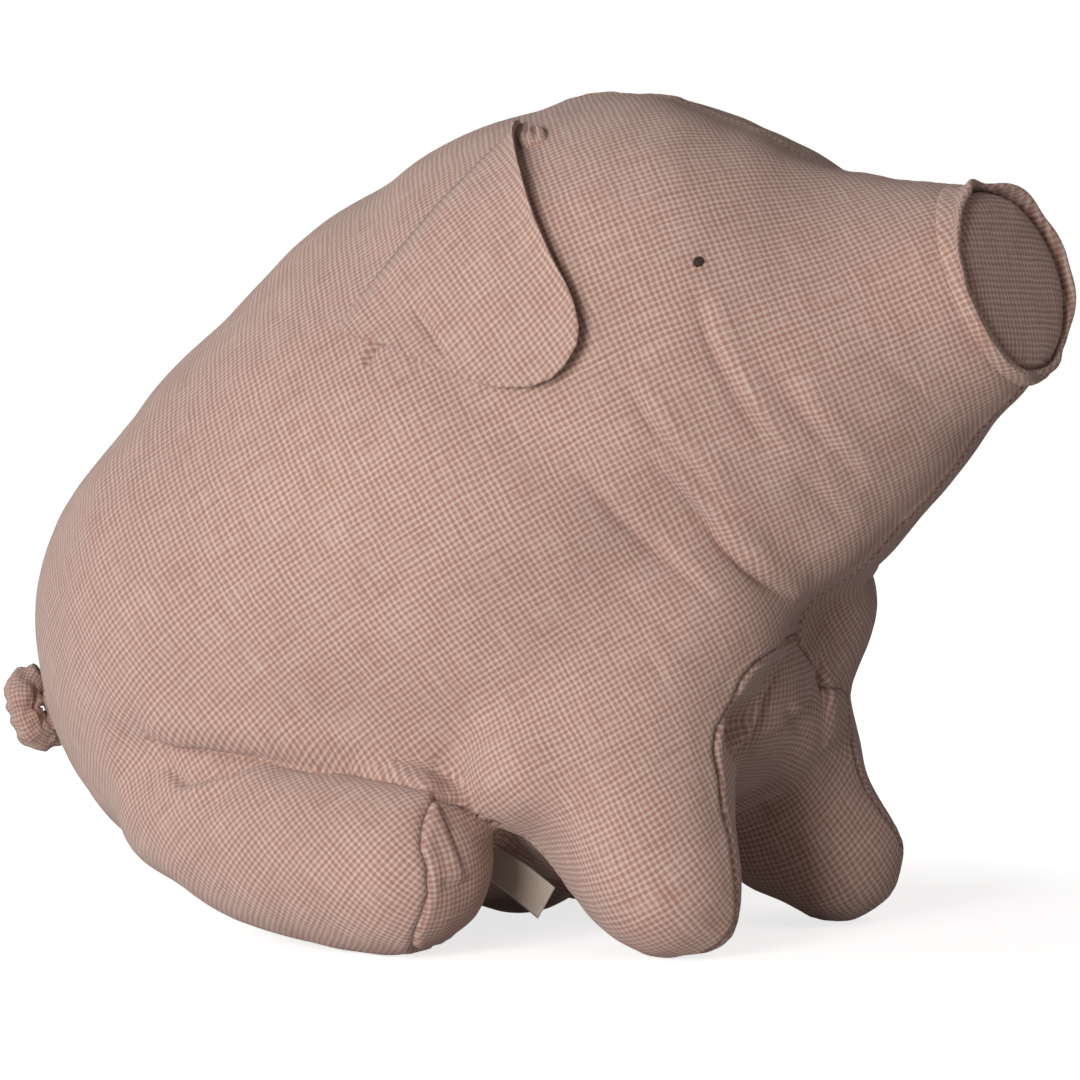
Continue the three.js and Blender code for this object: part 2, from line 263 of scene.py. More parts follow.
dark_share = 0.56
stripe_blur = 0.5
thread_pitch = check_period / 8
slub_width = 0.9 * mm
slub_length = 28 * mm
slub_contrast = 0.9
wander_scale = 70
wander_reach = 2 * mm
patch_scale = 9
patch_tones = (0.86, 1.12)
groove_reach = 0.9 * mm
painted_groove_shade = 0.3
rib_height = 0.12
slub_height = 0.25
groove_height = 1.6
weave_height = 0.5 * mm
fibre_height = 0.3 * mm
eye_fibre = 0.5 * mm
ribbon_fibre = 1.0 * mm
eye_colour = (0.035, 0.016, 0.012, 1)
# The ribbon's colour is its own pale beige, darkened by painted shade because it lies in the shade under the
# belly.
ribbon_colour_with_painted_shade = (0.44, 0.36, 0.30, 1)


def stripes(nodes, place):
    """0 on light threads and 1 on dark threads, in bands along one thread direction."""
    wave = nodes.math("SINE", nodes.math("MULTIPLY", place, 2 * math.pi / check_period))
    level = math.cos(math.pi * dark_share)
    return nodes.ease(wave, level - stripe_blur, level + stripe_blur)


def slubs(nodes, across, along, seed):
    """Threads that are a little thicker or paler than their neighbours, in streaks along the thread."""
    across = nodes.math("MULTIPLY", across, 1 / slub_width)
    along = nodes.math("MULTIPLY", along, 1 / slub_length)
    return nodes.noise(nodes.add("ShaderNodeCombineXYZ", {0: across, 1: along, 2: seed}), 1, 1)


def cotton(name):
    """Small-check cotton: light and dark threads in a plain weave, on the flat cloth's own map."""
    material = bpy.data.materials.new(name)
    nodes = Nodes(material)
    cloth = nodes.add("ShaderNodeUVMap", uv_map="cloth")
    wander = nodes.noise(cloth, wander_scale, 3, "Color")
    wander = nodes.vector("SUBTRACT", {0: wander, 1: (0.5, 0.5, 0.5)})
    wander = nodes.vector("SCALE", {0: wander, "Scale": wander_reach})
    across = nodes.add("ShaderNodeSeparateXYZ", {0: nodes.vector("ADD", {0: cloth, 1: wander})}, "X")
    along = across.node.outputs["Y"]
    share = nodes.math("ADD", stripes(nodes, across), stripes(nodes, along))
    uneven = nodes.math("ADD", slubs(nodes, across, along, 3.0), slubs(nodes, along, across, 8.0))
    uneven = nodes.math("MULTIPLY_ADD", uneven, slub_contrast, -slub_contrast)
    share = nodes.add("ShaderNodeClamp", {"Value": nodes.math("MULTIPLY_ADD", share, 0.5, uneven)})
    tone = nodes.mix_colour(share, light_thread, dark_thread)
    patches = nodes.noise(nodes.add("ShaderNodeTexCoord", output="Object"), patch_scale, 3)
    inputs = {"Value": patches, "To Min": patch_tones[0], "To Max": patch_tones[1]}
    patches = nodes.add("ShaderNodeMapRange", inputs)
    # Along each seam the cloth is darkened as painted shade in the seam's groove, on top of the random patchy
    # tone.
    seam = nodes.add("ShaderNodeAttribute", output="Fac", attribute_name="seam")
    groove = nodes.ease(seam, 0, groove_reach, 1, 0)
    patchy_tone_and_seam_shade = nodes.math("MULTIPLY", patches, nodes.math("MULTIPLY_ADD", groove, -painted_groove_shade, 1.0))
    threads = 2 * math.pi / thread_pitch
    ribs = [nodes.math("SINE", nodes.math("MULTIPLY", place, threads)) for place in (across, along)]
    weave = nodes.math("MULTIPLY", *ribs)
    height = nodes.math("MULTIPLY_ADD", weave, rib_height, nodes.math("MULTIPLY", uneven, slub_height))
    height = nodes.math("MULTIPLY_ADD", groove, -groove_height, height)
    bump = nodes.add("ShaderNodeBump", {"Height": height, "Strength": 0.7, "Distance": weave_height})
    nodes.finish(nodes.add("ShaderNodeBsdfPrincipled", {
        "Base Color": nodes.mix_colour(1.0, tone, patchy_tone_and_seam_shade, "MULTIPLY"), "Roughness": 0.92, "Normal": bump,
        "Specular IOR Level": 0.12, "Sheen Weight": 0.2, "Sheen Roughness": 0.6,
    }))
    return material


def plain_thread(name, colour, roughness, fibre):
    """Thread or ribbon in one colour, with fine raised ribs and a slight change of tone."""
    material = bpy.data.materials.new(name)
    nodes = Nodes(material)
    fine = nodes.noise(nodes.add("ShaderNodeTexCoord", output="Object"), 1 / fibre, 4)
    tone = nodes.add("ShaderNodeMapRange", {"Value": fine, "To Min": 0.75, "To Max": 1.2})
    bump = nodes.add("ShaderNodeBump", {"Height": fine, "Strength": 0.4, "Distance": fibre_height})
    nodes.finish(nodes.add("ShaderNodeBsdfPrincipled", {
        "Base Color": nodes.mix_colour(1.0, colour, tone, "MULTIPLY"), "Roughness": roughness,
        "Normal": bump, "Specular IOR Level": 0.3,
    }))
    return material


slots = {
    "check_cotton": cotton("check cotton"),
    "eye_thread": plain_thread("eye thread", eye_colour, 0.6, eye_fibre),
    "tag_ribbon": plain_thread("tag ribbon", ribbon_colour_with_painted_shade, 0.5, ribbon_fibre),
}


# Stuffed skin: the six stuffed forms joined into one, with soft valleys where they meet.
stuffed_nodes = ["body", "head", "front_leg_right", "front_leg_left", "hind_leg_right", "hind_leg_left"]
skin_voxel = 3 * mm
coarse_step = 3
field_reach_voxels = 12
gap_closing = 1.6 * mm
broad_closing = 27 * mm
skin_blurs = (0.8, 2, 4.2)
usual_softness = 0.5
floor_rest = 0.2 * mm
uncut_rest = 0.3 * mm


def fresh_level_set(points, faces, quads=False):
    change = openvdb.createLinearTransform(voxelSize=skin_voxel)
    points = np.ascontiguousarray(points, dtype=np.float32)
    faces = np.ascontiguousarray(faces, dtype=np.uint32)
    named = {"quads": faces} if quads else {"triangles": faces}
    return openvdb.FloatGrid.createLevelSetFromPolygons(
        points, transform=change, halfWidth=field_reach_voxels, **named
    )


def grid_window():
    """The grid's first cell and its size in cells, with room all round the stuffed forms."""
    boxes = [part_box(name) for name in stuffed_nodes]
    low = np.min([np.array(box[0]) for box in boxes], axis=0)
    high = np.max([np.array(box[1]) for box in boxes], axis=0)
    first = np.floor(low / skin_voxel).astype(int) - field_reach_voxels
    last = np.ceil(high / skin_voxel).astype(int) + field_reach_voxels
    return first, last - first + 1


first_cell, window_cells = grid_window()


def field_of(grid):
    cells = np.empty(tuple(window_cells), dtype=np.float32)
    grid.copyToArray(cells, ijk=tuple(int(c) for c in first_cell))
    return cells


def surface_of(cells, step=1):
    """The closed surface where the field is zero, as points and quads."""
    grid = openvdb.FloatGrid()
    grid.background = skin_voxel * field_reach_voxels
    thinned = np.ascontiguousarray(cells[::step, ::step, ::step])
    grid.copyFromArray(thinned, ijk=(0, 0, 0))
    grid.gridClass = openvdb.GridClass.LEVEL_SET
    points, quads = grid.convertToQuads()
    points = (np.array(points, dtype=float) * step + first_cell) * skin_voxel
    return points, np.array(quads, dtype=np.int64)[:, ::-1]


def blurred(cells, spread_voxels):
    """The field averaged over a soft ball of this many voxels."""
    reach = int(math.ceil(spread_voxels * 3))
    offsets = np.arange(-reach, reach + 1)
    weights = np.exp(-0.5 * (offsets / spread_voxels) ** 2)
    weights /= weights.sum()
    for axis in range(3):
        padded = np.pad(cells, [(reach, reach) if a == axis else (0, 0) for a in range(3)], mode="edge")
        total = np.zeros_like(cells)
        for offset, weight in zip(offsets, weights):
            begin = reach + offset
            window = [slice(None)] * 3
            window[axis] = slice(begin, begin + cells.shape[axis])
            total += weight * padded[tuple(window)]
        cells = total
    return cells


def cell_places():
    """X, Y and Z of the grid's cells, to be broadcast together."""
    axes = [(first_cell[a] + np.arange(window_cells[a])) * skin_voxel for a in range(3)]
    return np.meshgrid(*axes, indexing="ij", sparse=True)


def on_hand(place, side):
    """A place or a move that is given for the left side, put on this side."""
    return np.array((place[0], side * place[1], place[2]))


def far_from(places, centre):
    return np.sqrt(sum((place - c) ** 2 for place, c in zip(places, centre)))


def soft_ball(places, centre, radius):
    """1 at the centre, falling smoothly to 0 at the radius."""
    share = np.clip(1 - far_from(places, centre) / radius, 0, 1)
    return share * share * (3 - 2 * share)


def bridged(cells, reach):
    """The field with every gap and valley filled that a ball of this radius can't enter."""
    points, quads = surface_of(cells - reach)
    return field_of(fresh_level_set(points, quads, quads=True)) + reach


def mask_of(soft_places, places, elsewhere):
    """Amounts that hold round their places on both sides of the pig, and this one elsewhere."""
    mask = np.zeros(tuple(window_cells), dtype=np.float32) + elsewhere
    for centre, radius, amount in soft_places:
        for side in (-1, 1):
            share = soft_ball(places, on_hand(centre, side), radius)
            mask = mask * (1 - share) + amount * share
    return mask


def stuffed_field():
    """How far each cell is from the stuffed forms' joined surface, below 0 inside it."""
    places = cell_places()
    joined = None
    for centre, radius, sides in fillings:
        for side in sides:
            ball = (far_from(places, on_hand(centre, side)) - radius).astype(np.float32)
            joined = ball if joined is None else np.minimum(joined, ball)
    for name in stuffed_nodes:
        joined = np.minimum(joined, field_of(fresh_level_set(*node_arrays(name))))
    closed = bridged(joined, gap_closing)
    full = bridged(joined, broad_closing)
    share = mask_of(bridging_places, places, 0.0)
    closed = closed * (1 - share) + full * share
    fine, middle, broad = (blurred(closed, spread) for spread in skin_blurs)
    softness = mask_of(smoothing_places, places, usual_softness)
    low = np.clip(softness * 2, 0, 1)
    high = np.clip(softness * 2 - 1, 0, 1)
    return fine * (1 - low) + (middle * (1 - high) + broad * high) * low


# Filling that bulges against the throat, over the hind feet, between the front legs and under the belly,
# where it sags to the floor: centres, radii and the sides it is on.
fillings = [
    ((0.128, 0.058, 0.167), 0.048, (-1, 1)),
    ((0.070, 0.100, 0.092), 0.036, (-1, 1)),
    ((0.118, 0.040, 0.112), 0.046, (1,)),
    ((-0.060, 0.020, 0.052), 0.050, (1,)),
    ((-0.012, 0.038, 0.048), 0.047, (1,)),
]

# Where the valleys between the forms are bridged, on both sides: the shoulder and behind the front leg.
bridging_places = [
    ((0.05, 0.10, 0.19), 0.12, 1.0),
    ((0.10, 0.13, 0.125), 0.05, 1.0),
    ((0.15, 0.04, 0.17), 0.10, 1.0),
    ((0.14, 0.04, 0.11), 0.11, 1.0),
]

# Where the skin bulges out or sinks in a little: the centre, radius, move and sides, all in metres.
bulges = [
    ((-0.078, 0.037, 0.352), 0.080, (-0.0034, 0, 0.0044), (-1, 1)),
    ((-0.184, 0.066, 0.254), 0.062, (0.0062, 0, -0.0044), (-1, 1)),
    ((-0.223, 0.078, 0.176), 0.060, (-0.0044, 0, 0), (-1, 1)),
    ((-0.178, 0.090, 0.055), 0.038, (-0.0040, 0, 0), (-1, 1)),
    ((-0.125, 0.118, 0.020), 0.046, (0.0026, 0, 0.0044), (-1, 1)),
    ((0.036, 0.125, 0.045), 0.062, (-0.0080, 0, 0), (-1, 1)),
    ((0.034, 0.128, 0.004), 0.030, (0, 0, 0.0040), (-1, 1)),
    ((0.049, 0.005, 0.413), 0.030, (0, 0, 0.0036), (-1,)),
    ((0.115, 0.010, 0.409), 0.034, (0, 0, -0.0034), (-1, 1)),
    ((0.164, 0.036, 0.380), 0.046, (0.0010, 0, 0.0042), (-1, 1)),
    ((0.190, 0.012, 0.374), 0.036, (0, 0, 0.0040), (-1,)),
    ((0.080, 0.118, 0.045), 0.050, (0.0060, 0, 0.0060), (-1, 1)),
    ((0.152, 0.062, 0.112), 0.022, (-0.0160, 0, 0), (-1,)),
    ((-0.133, 0.140, 0.090), 0.030, (0, -0.0060, 0), (-1, 1)),
    ((0.186, 0.030, 0.188), 0.048, (0.0046, 0, -0.0046), (-1, 1)),
    ((0.156, 0.087, 0.116), 0.034, (-0.0050, 0, 0), (1,)),
    ((0.161, 0.097, 0.074), 0.036, (-0.0050, 0, 0), (1,)),
    ((0.157, 0.078, 0.012), 0.026, (0.0020, 0, -0.0034), (-1,)),
]


def bulged(points):
    moved = points.copy()
    for centre, radius, move, sides in bulges:
        for side in sides:
            share = soft_ball(points.T, on_hand(centre, side), radius)
            moved += share[:, None] * on_hand(move, side)
    return moved


# How soft the forms' meeting is: 0 keeps a crease, 1 fills it in. Each place counts on both sides.
smoothing_places = [
    ((0.02, 0.05, 0.36), 0.16, 1.0),
    ((-0.20, 0.12, 0.08), 0.11, 1.0),
    ((0.10, 0.10, 0.16), 0.10, 1.0),
    ((0.266, 0.0, 0.322), 0.075, 0.0),
    ((-0.06, 0.15, 0.085), 0.055, 0.1),
    ((0.03, 0.15, 0.085), 0.055, 0.05),
]

# Panels: two sides that meet along the middle, and a belly gusset that runs down the legs' inner sides.
gusset_half_width_along = [
    (-0.230, 0.000), (-0.160, 0.060), (-0.100, 0.100), (0.000, 0.118), (0.040, 0.118), (0.076, 0.092),
]
gusset_top_along = [(-0.230, 0.030), (-0.120, 0.070), (-0.060, 0.085), (0.076, 0.085)]
hind_foot_seam_by_height = [
    (0.000, 0.018), (0.010, 0.027), (0.024, 0.036), (0.034, 0.040), (0.047, 0.040), (0.056, 0.037),
    (0.068, 0.035), (0.080, 0.033),
]
hind_foot_top_along = [(0.000, 0.082), (0.030, 0.080), (0.045, 0.073), (0.062, 0.056), (0.076, 0.030)]
front_legs_start = 0.076
seam_meet_rise = 4 * mm
seam_meet_over = 20 * mm
front_leg_seam_px = [
    (781, 645), (756, 664), (742, 680), (733, 700), (726, 712), (717, 728), (714, 749), (719, 776),
    (722, 804), (728, 827), (732, 850), (735, 868), (737, 886), (741, 902), (735, 923), (726, 937),
]
front_leg_seam_by_height = []
far_leg_seam_by_height = [
    (0.000, 0.085), (0.019, 0.095), (0.035, 0.095), (0.045, 0.088), (0.064, 0.079), (0.090, 0.072),
    (0.113, 0.070), (0.120, 0.055), (0.124, 0.035), (0.140, 0.012), (0.147, 0.000), (0.151, -0.020),
]


def read_off(table, places):
    table = np.array(table)
    return np.interp(places, table[:, 0], table[:, 1])


def place_front_leg_seam(tree):
    """Finds how far out the seam down the front leg's inner side runs at each height."""
    spots = spots_seen(front_leg_seam_px, tree)
    spots = spots[np.argsort(spots[:, 2])]
    outs = np.maximum(-spots[:, 1], 0)
    front_leg_seam_by_height.append((0.0, outs[0]))
    front_leg_seam_by_height.extend(zip(spots[:, 2], outs))
    front_leg_seam_by_height.append((spots[-1, 2] + seam_meet_rise, -seam_meet_over))


def outside_gusset(points):
    """Below 0 where the cloth belongs to the belly gusset."""
    along, across, up = points[:, 0], np.abs(points[:, 1]), points[:, 2]
    width = read_off(gusset_half_width_along, along)
    belly = np.maximum(across - width, up - read_off(gusset_top_along, along))
    foot = np.maximum(
        read_off(hind_foot_seam_by_height, up) - along, up - read_off(hind_foot_top_along, along)
    )
    near_out, far_out = read_off(front_leg_seam_by_height, up), read_off(far_leg_seam_by_height, up)
    ahead = across - np.where(points[:, 1] < 0, near_out, far_out)
    return np.where(along > front_legs_start, ahead, np.minimum(belly, foot))


right_side, left_side, gusset = 0, 1, 2
panels_below = 0.16
cut_snap = 0.05 * mm
cut_shares = (0.08, 0.92)
middle_cut_lap = 0.5 * mm


def panel_of(points):
    side = np.where(points[:, 1] < 0, right_side, left_side)
    return np.where(outside_gusset(points) < 0, gusset, side)


def cut_where_zero(work, value_of, wanted):
    """Splits the faces where a value changes its sign, so that an edge runs there."""
    work.verts.index_update()
    points = np.array([v.co for v in work.verts])
    values = value_of(points)
    values[np.abs(values) < cut_snap] = cut_snap
    chosen = wanted(points)
    shares, edges = {}, []
    for edge in work.edges:
        a, b = edge.verts[0].index, edge.verts[1].index
        if chosen[a] and chosen[b] and values[a] * values[b] < 0:
            edges.append(edge)
            shares[edge] = float(np.clip(values[a] / (values[a] - values[b]), *cut_shares))
    made = bmesh.ops.bisect_edges(work, edges=edges, cuts=1, edge_percents=shares)
    fresh = [e for e in made["geom_split"] if isinstance(e, bmesh.types.BMVert)]
    bmesh.ops.connect_verts(work, verts=fresh)


def cut_panels(piece):
    with reworked(piece.data) as work:
        cut_where_zero(work, outside_gusset, lambda points: points[:, 2] < panels_below)
        cut_where_zero(
            work, lambda points: points[:, 1].copy(), lambda points: outside_gusset(points) > -middle_cut_lap
        )


def triangles_of(quads):
    return np.concatenate([quads[:, [0, 1, 2]], quads[:, [0, 2, 3]]])


# Snout seat: where the head ends, and how far its end looks up.
snout_seat = np.array((265.5, 0, 322.1)) * mm
snout_tilt = math.radians(21)
snout_axis = np.array((math.cos(snout_tilt), 0, math.sin(snout_tilt)))
snout_up = np.array((-math.sin(snout_tilt), 0, math.cos(snout_tilt)))

# Flattening: each panel is laid flat with as little stretch as its shape allows, as the cloth was cut.
flatten_rounds = 40
flatten_inner_rounds = 60
flatten_lean = 0.10
weight_limits = (0.02, 5)
sleeve_end = 4 * mm
throat_middle = (0.16, 0.05, 0.16)
throat_reach = 0.10
gusset_open_width = 0.06
gusset_open_height = 0.10
gusset_rise_start = 0.12
gusset_rise_height = 0.06


def flatten(points, triangles, start):
    """Places on the flat cloth for each point, in metres, from a start without folds."""
    count = len(points)
    first, second, third = (points[triangles[:, k]] for k in range(3))
    base = np.linalg.norm(second - first, axis=1) + 1e-12
    along = ((third - first) * (second - first)).sum(1) / base
    height = np.linalg.norm(np.cross(second - first, third - first), axis=1) / base + 1e-9
    rest = np.zeros((len(triangles), 3, 2))
    rest[:, 1, 0] = base
    rest[:, 2, 0] = along
    rest[:, 2, 1] = height
    rows, columns, weights, spans = [], [], [], []
    for k in range(3):
        a, b, c = k, (k + 1) % 3, (k + 2) % 3
        to_a, to_b = rest[:, a] - rest[:, c], rest[:, b] - rest[:, c]
        cross = np.abs(to_a[:, 0] * to_b[:, 1] - to_a[:, 1] * to_b[:, 0]) + 1e-12
        weight = np.clip((to_a * to_b).sum(1) / cross / 2, *weight_limits)
        rows.append(triangles[:, a])
        columns.append(triangles[:, b])
        weights.append(weight)
        spans.append(rest[:, a] - rest[:, b])
    rows, columns, weights = (np.concatenate(x) for x in (rows, columns, weights))
    spans = np.concatenate(spans)
    owners = np.tile(np.arange(len(triangles)), 3)
    diagonal = np.bincount(rows, weights, count) + np.bincount(columns, weights, count)
    diagonal = np.maximum(diagonal, 1e-9)

    def spread(flat):
        total = diagonal[:, None] * flat
        for axis in range(2):
            total[:, axis] -= np.bincount(rows, weights * flat[columns, axis], count)
            total[:, axis] -= np.bincount(columns, weights * flat[rows, axis], count)
        return total

    rest_inverse = np.linalg.inv(np.stack([rest[:, 1], rest[:, 2]], axis=2))
    flat = start.copy()
    for _ in range(flatten_rounds):
        corners = flat[triangles]
        moved = np.stack([corners[:, 1] - corners[:, 0], corners[:, 2] - corners[:, 0]], axis=2)
        change = moved @ rest_inverse
        even = change[:, 0, 0] + change[:, 1, 1]
        odd = change[:, 1, 0] - change[:, 0, 1]
        size = np.sqrt(even**2 + odd**2) + 1e-12
        cosine, sine = (even / size)[owners], (odd / size)[owners]
        turned = np.stack(
            [cosine * spans[:, 0] - sine * spans[:, 1], sine * spans[:, 0] + cosine * spans[:, 1]], axis=1
        )
        wanted = np.zeros((count, 2))
        for axis in range(2):
            pull = weights * turned[:, axis]
            wanted[:, axis] = np.bincount(rows, pull, count) - np.bincount(columns, pull, count)
        left = wanted - spread(flat)
        eased = left / diagonal[:, None]
        way = eased.copy()
        power = (left * eased).sum(0)
        for _ in range(flatten_inner_rounds):
            pushed = spread(way)
            step = power / ((way * pushed).sum(0) + 1e-30)
            flat = flat + step * way
            left = left - step * pushed
            eased = left / diagonal[:, None]
            fresh = (left * eased).sum(0)
            way = eased + fresh / (power + 1e-30) * way
            power = fresh
    return flat


panel_views = {
    right_side: (Vector((1, 0, 0)), Vector((0, 0, 1))),
    left_side: (Vector((-1, 0, 0)), Vector((0, 0, 1))),
    gusset: (Vector((1, 0, 0)), Vector((0, -1, 0))),
}
grain_turn = {right_side: math.radians(-32), left_side: math.radians(32), gusset: 0}


def turned(flat, turn):
    spin = np.array([[math.cos(turn), math.sin(turn)], [-math.sin(turn), math.cos(turn)]])
    return flat @ spin


def flat_start(panel, points, normals, right, up):
    """A first rough flat place for each point, seen from the panel's own side and opened out."""
    if panel == gusset:
        opened = points.copy()
        outward = np.clip(points[:, 1] / gusset_open_width, -1, 1)
        opened[:, 1] += np.maximum(gusset_open_height - points[:, 2], 0) * outward
        ahead = points[:, 0] > gusset_rise_start
        opened[:, 0] += np.where(ahead, np.maximum(points[:, 2] - gusset_rise_height, 0), 0)
    else:
        middle = on_hand(throat_middle, math.copysign(1, points[:, 1].mean()))
        near = np.clip(np.linalg.norm(points - middle, axis=1) / throat_reach, 0, 1)
        opened = points + normals * (flatten_lean * near)[:, None]
    return np.stack([opened @ right, opened @ up], axis=1)


def flat_places(coarse_points, coarse_quads, fine_points, fine_faces_of_panel):
    """For each panel, the flat cloth place of every fine point that it uses."""
    triangles = triangles_of(coarse_quads)
    ahead = (coarse_points[triangles].mean(1) - snout_seat) @ snout_axis
    triangles = triangles[ahead < -sleeve_end]
    middles = coarse_points[triangles].mean(1)
    panels = panel_of(middles)
    normals = np.cross(
        coarse_points[triangles[:, 1]] - coarse_points[triangles[:, 0]],
        coarse_points[triangles[:, 2]] - coarse_points[triangles[:, 0]],
    )
    point_normals = np.zeros_like(coarse_points)
    for k in range(3):
        for axis in range(3):
            point_normals[:, axis] += np.bincount(triangles[:, k], normals[:, axis], len(coarse_points))
    point_normals /= np.linalg.norm(point_normals, axis=1)[:, None] + 1e-12
    flats = {}
    for panel, (right, up) in panel_views.items():
        own = panels == panel
        touched = np.zeros(len(coarse_points), dtype=bool)
        touched[triangles[own].ravel()] = True
        kept = triangles[own | touched[triangles].all(axis=1)]
        used = np.unique(kept)
        renamed = np.full(len(coarse_points), -1)
        renamed[used] = np.arange(len(used))
        kept = renamed[kept]
        points = coarse_points[used]
        start = flat_start(panel, points, point_normals[used], np.array(right), np.array(up))
        flat = turned(flatten(points, kept, start), grain_turn[panel])
        tree = tree_of(points, kept)
        wanted = fine_faces_of_panel[panel]
        hits = [tree.find_nearest(tuple(p)) for p in fine_points[wanted]]
        faces = kept[np.array([hit[2] for hit in hits])]
        spots = np.array([hit[0] for hit in hits])
        a, b, c = (points[faces[:, k]] for k in range(3))
        whole = np.cross(b - a, c - a)
        size = (whole * whole).sum(1) + 1e-20
        share_b = (np.cross(spots - a, c - a) * whole).sum(1) / size
        share_c = (np.cross(b - a, spots - a) * whole).sum(1) / size
        shares = (1 - share_b - share_c, share_b, share_c)
        flats[panel] = np.zeros((len(fine_points), 2))
        flats[panel][wanted] = sum(share[:, None] * flat[faces[:, k]] for k, share in enumerate(shares))
    return flats


def lay_cloth(mesh, places):
    """Puts a flat place for each corner of the faces into the mesh's cloth map."""
    mesh.uv_layers.new(name="cloth").uv.foreach_set("vector", places.astype(np.float32).ravel())


def lay_flat(piece, flat):
    """Puts a flat place for each point of the piece into its cloth map."""
    lay_cloth(piece.data, flat[corner_vertices(piece.data)])


def lay_out_cloth(piece):
    """A map of the flat cloth on the piece, in metres, panel by panel."""
    mesh = piece.data
    corners, sizes = corner_vertices(mesh), face_sizes(mesh)
    face_panels = panel_of(face_middles(mesh))
    corner_panels = np.repeat(face_panels, sizes)
    points = mesh_points(mesh)
    used = {panel: np.unique(corners[corner_panels == panel]) for panel in panel_views}
    flats = flat_places(coarse_points, coarse_quads, points, used)
    places = np.zeros((len(corners), 2), dtype=np.float32)
    for panel, flat in flats.items():
        own = corner_panels == panel
        places[own] = flat[corners[own]]
    lay_cloth(mesh, places)
    return face_panels


# Folds: valleys and ridges pressed into the skin along lines that the camera sees.
def along_line(spots, spacing):
    """Points at an even spacing along a line, and each one's share of its length."""
    run = run_along(spots)
    count = max(int(run[-1] / spacing), 2)
    shares = np.linspace(0, 1, count + 1)
    places = np.stack([np.interp(shares * run[-1], run, spots[:, a]) for a in range(3)], axis=1)
    return places, shares


def tapered(shares, start, end):
    """1 along most of a line, falling to 0 over these shares at its two ends."""
    rise = np.clip(shares / start, 0, 1)
    fall = np.clip((1 - shares) / end, 0, 1)
    return np.sin(rise * math.pi / 2) * np.sin(fall * math.pi / 2)


broad_fold = 3
broad_share = 0.4
fold_block = 20000
fold_spacing = 1.5 * mm
fold_hang_spread = 1.5


def press_fold(points, normals, line, shares, fold):
    """Presses a valley in along a line, raises a ridge on one side and lets it hang over the valley."""
    depth, width, ridge, ridge_width, overlap, side, start, end = fold
    strength = tapered(shares, start, end)
    ways = np.gradient(line, axis=0)
    ways /= np.linalg.norm(ways, axis=1)[:, None] + 1e-12
    reach = 3 * max(width, ridge_width)
    edge = 2 * reach
    near = np.all((points > line.min(0) - edge) & (points < line.max(0) + edge), axis=1)
    chosen = np.nonzero(near)[0]
    own = points[chosen]
    nearest = np.empty(len(chosen), dtype=int)
    for begin in range(0, len(chosen), fold_block):
        block = slice(begin, begin + fold_block)
        nearest[block] = ((own[block, None] - line[None]) ** 2).sum(2).argmin(1)
    away = own - line[nearest]
    distance = np.linalg.norm(away, axis=1)
    across = np.cross(ways[nearest], normals[chosen]) * side
    beside = (across * away).sum(1)
    close = np.exp(-((distance / reach) ** 4))
    sharp, broad = bell(distance, 0, width), bell(distance, 0, broad_fold * width)
    pressed = -depth * ((1 - broad_share) * sharp + broad_share * broad)
    raised = ridge * bell(beside, ridge_width, ridge_width) * close
    dragged = -overlap * bell(beside, width, fold_hang_spread * width) * close
    move = normals[chosen] * (pressed + raised)[:, None] + across * dragged[:, None]
    points[chosen] += move * strength[nearest][:, None]


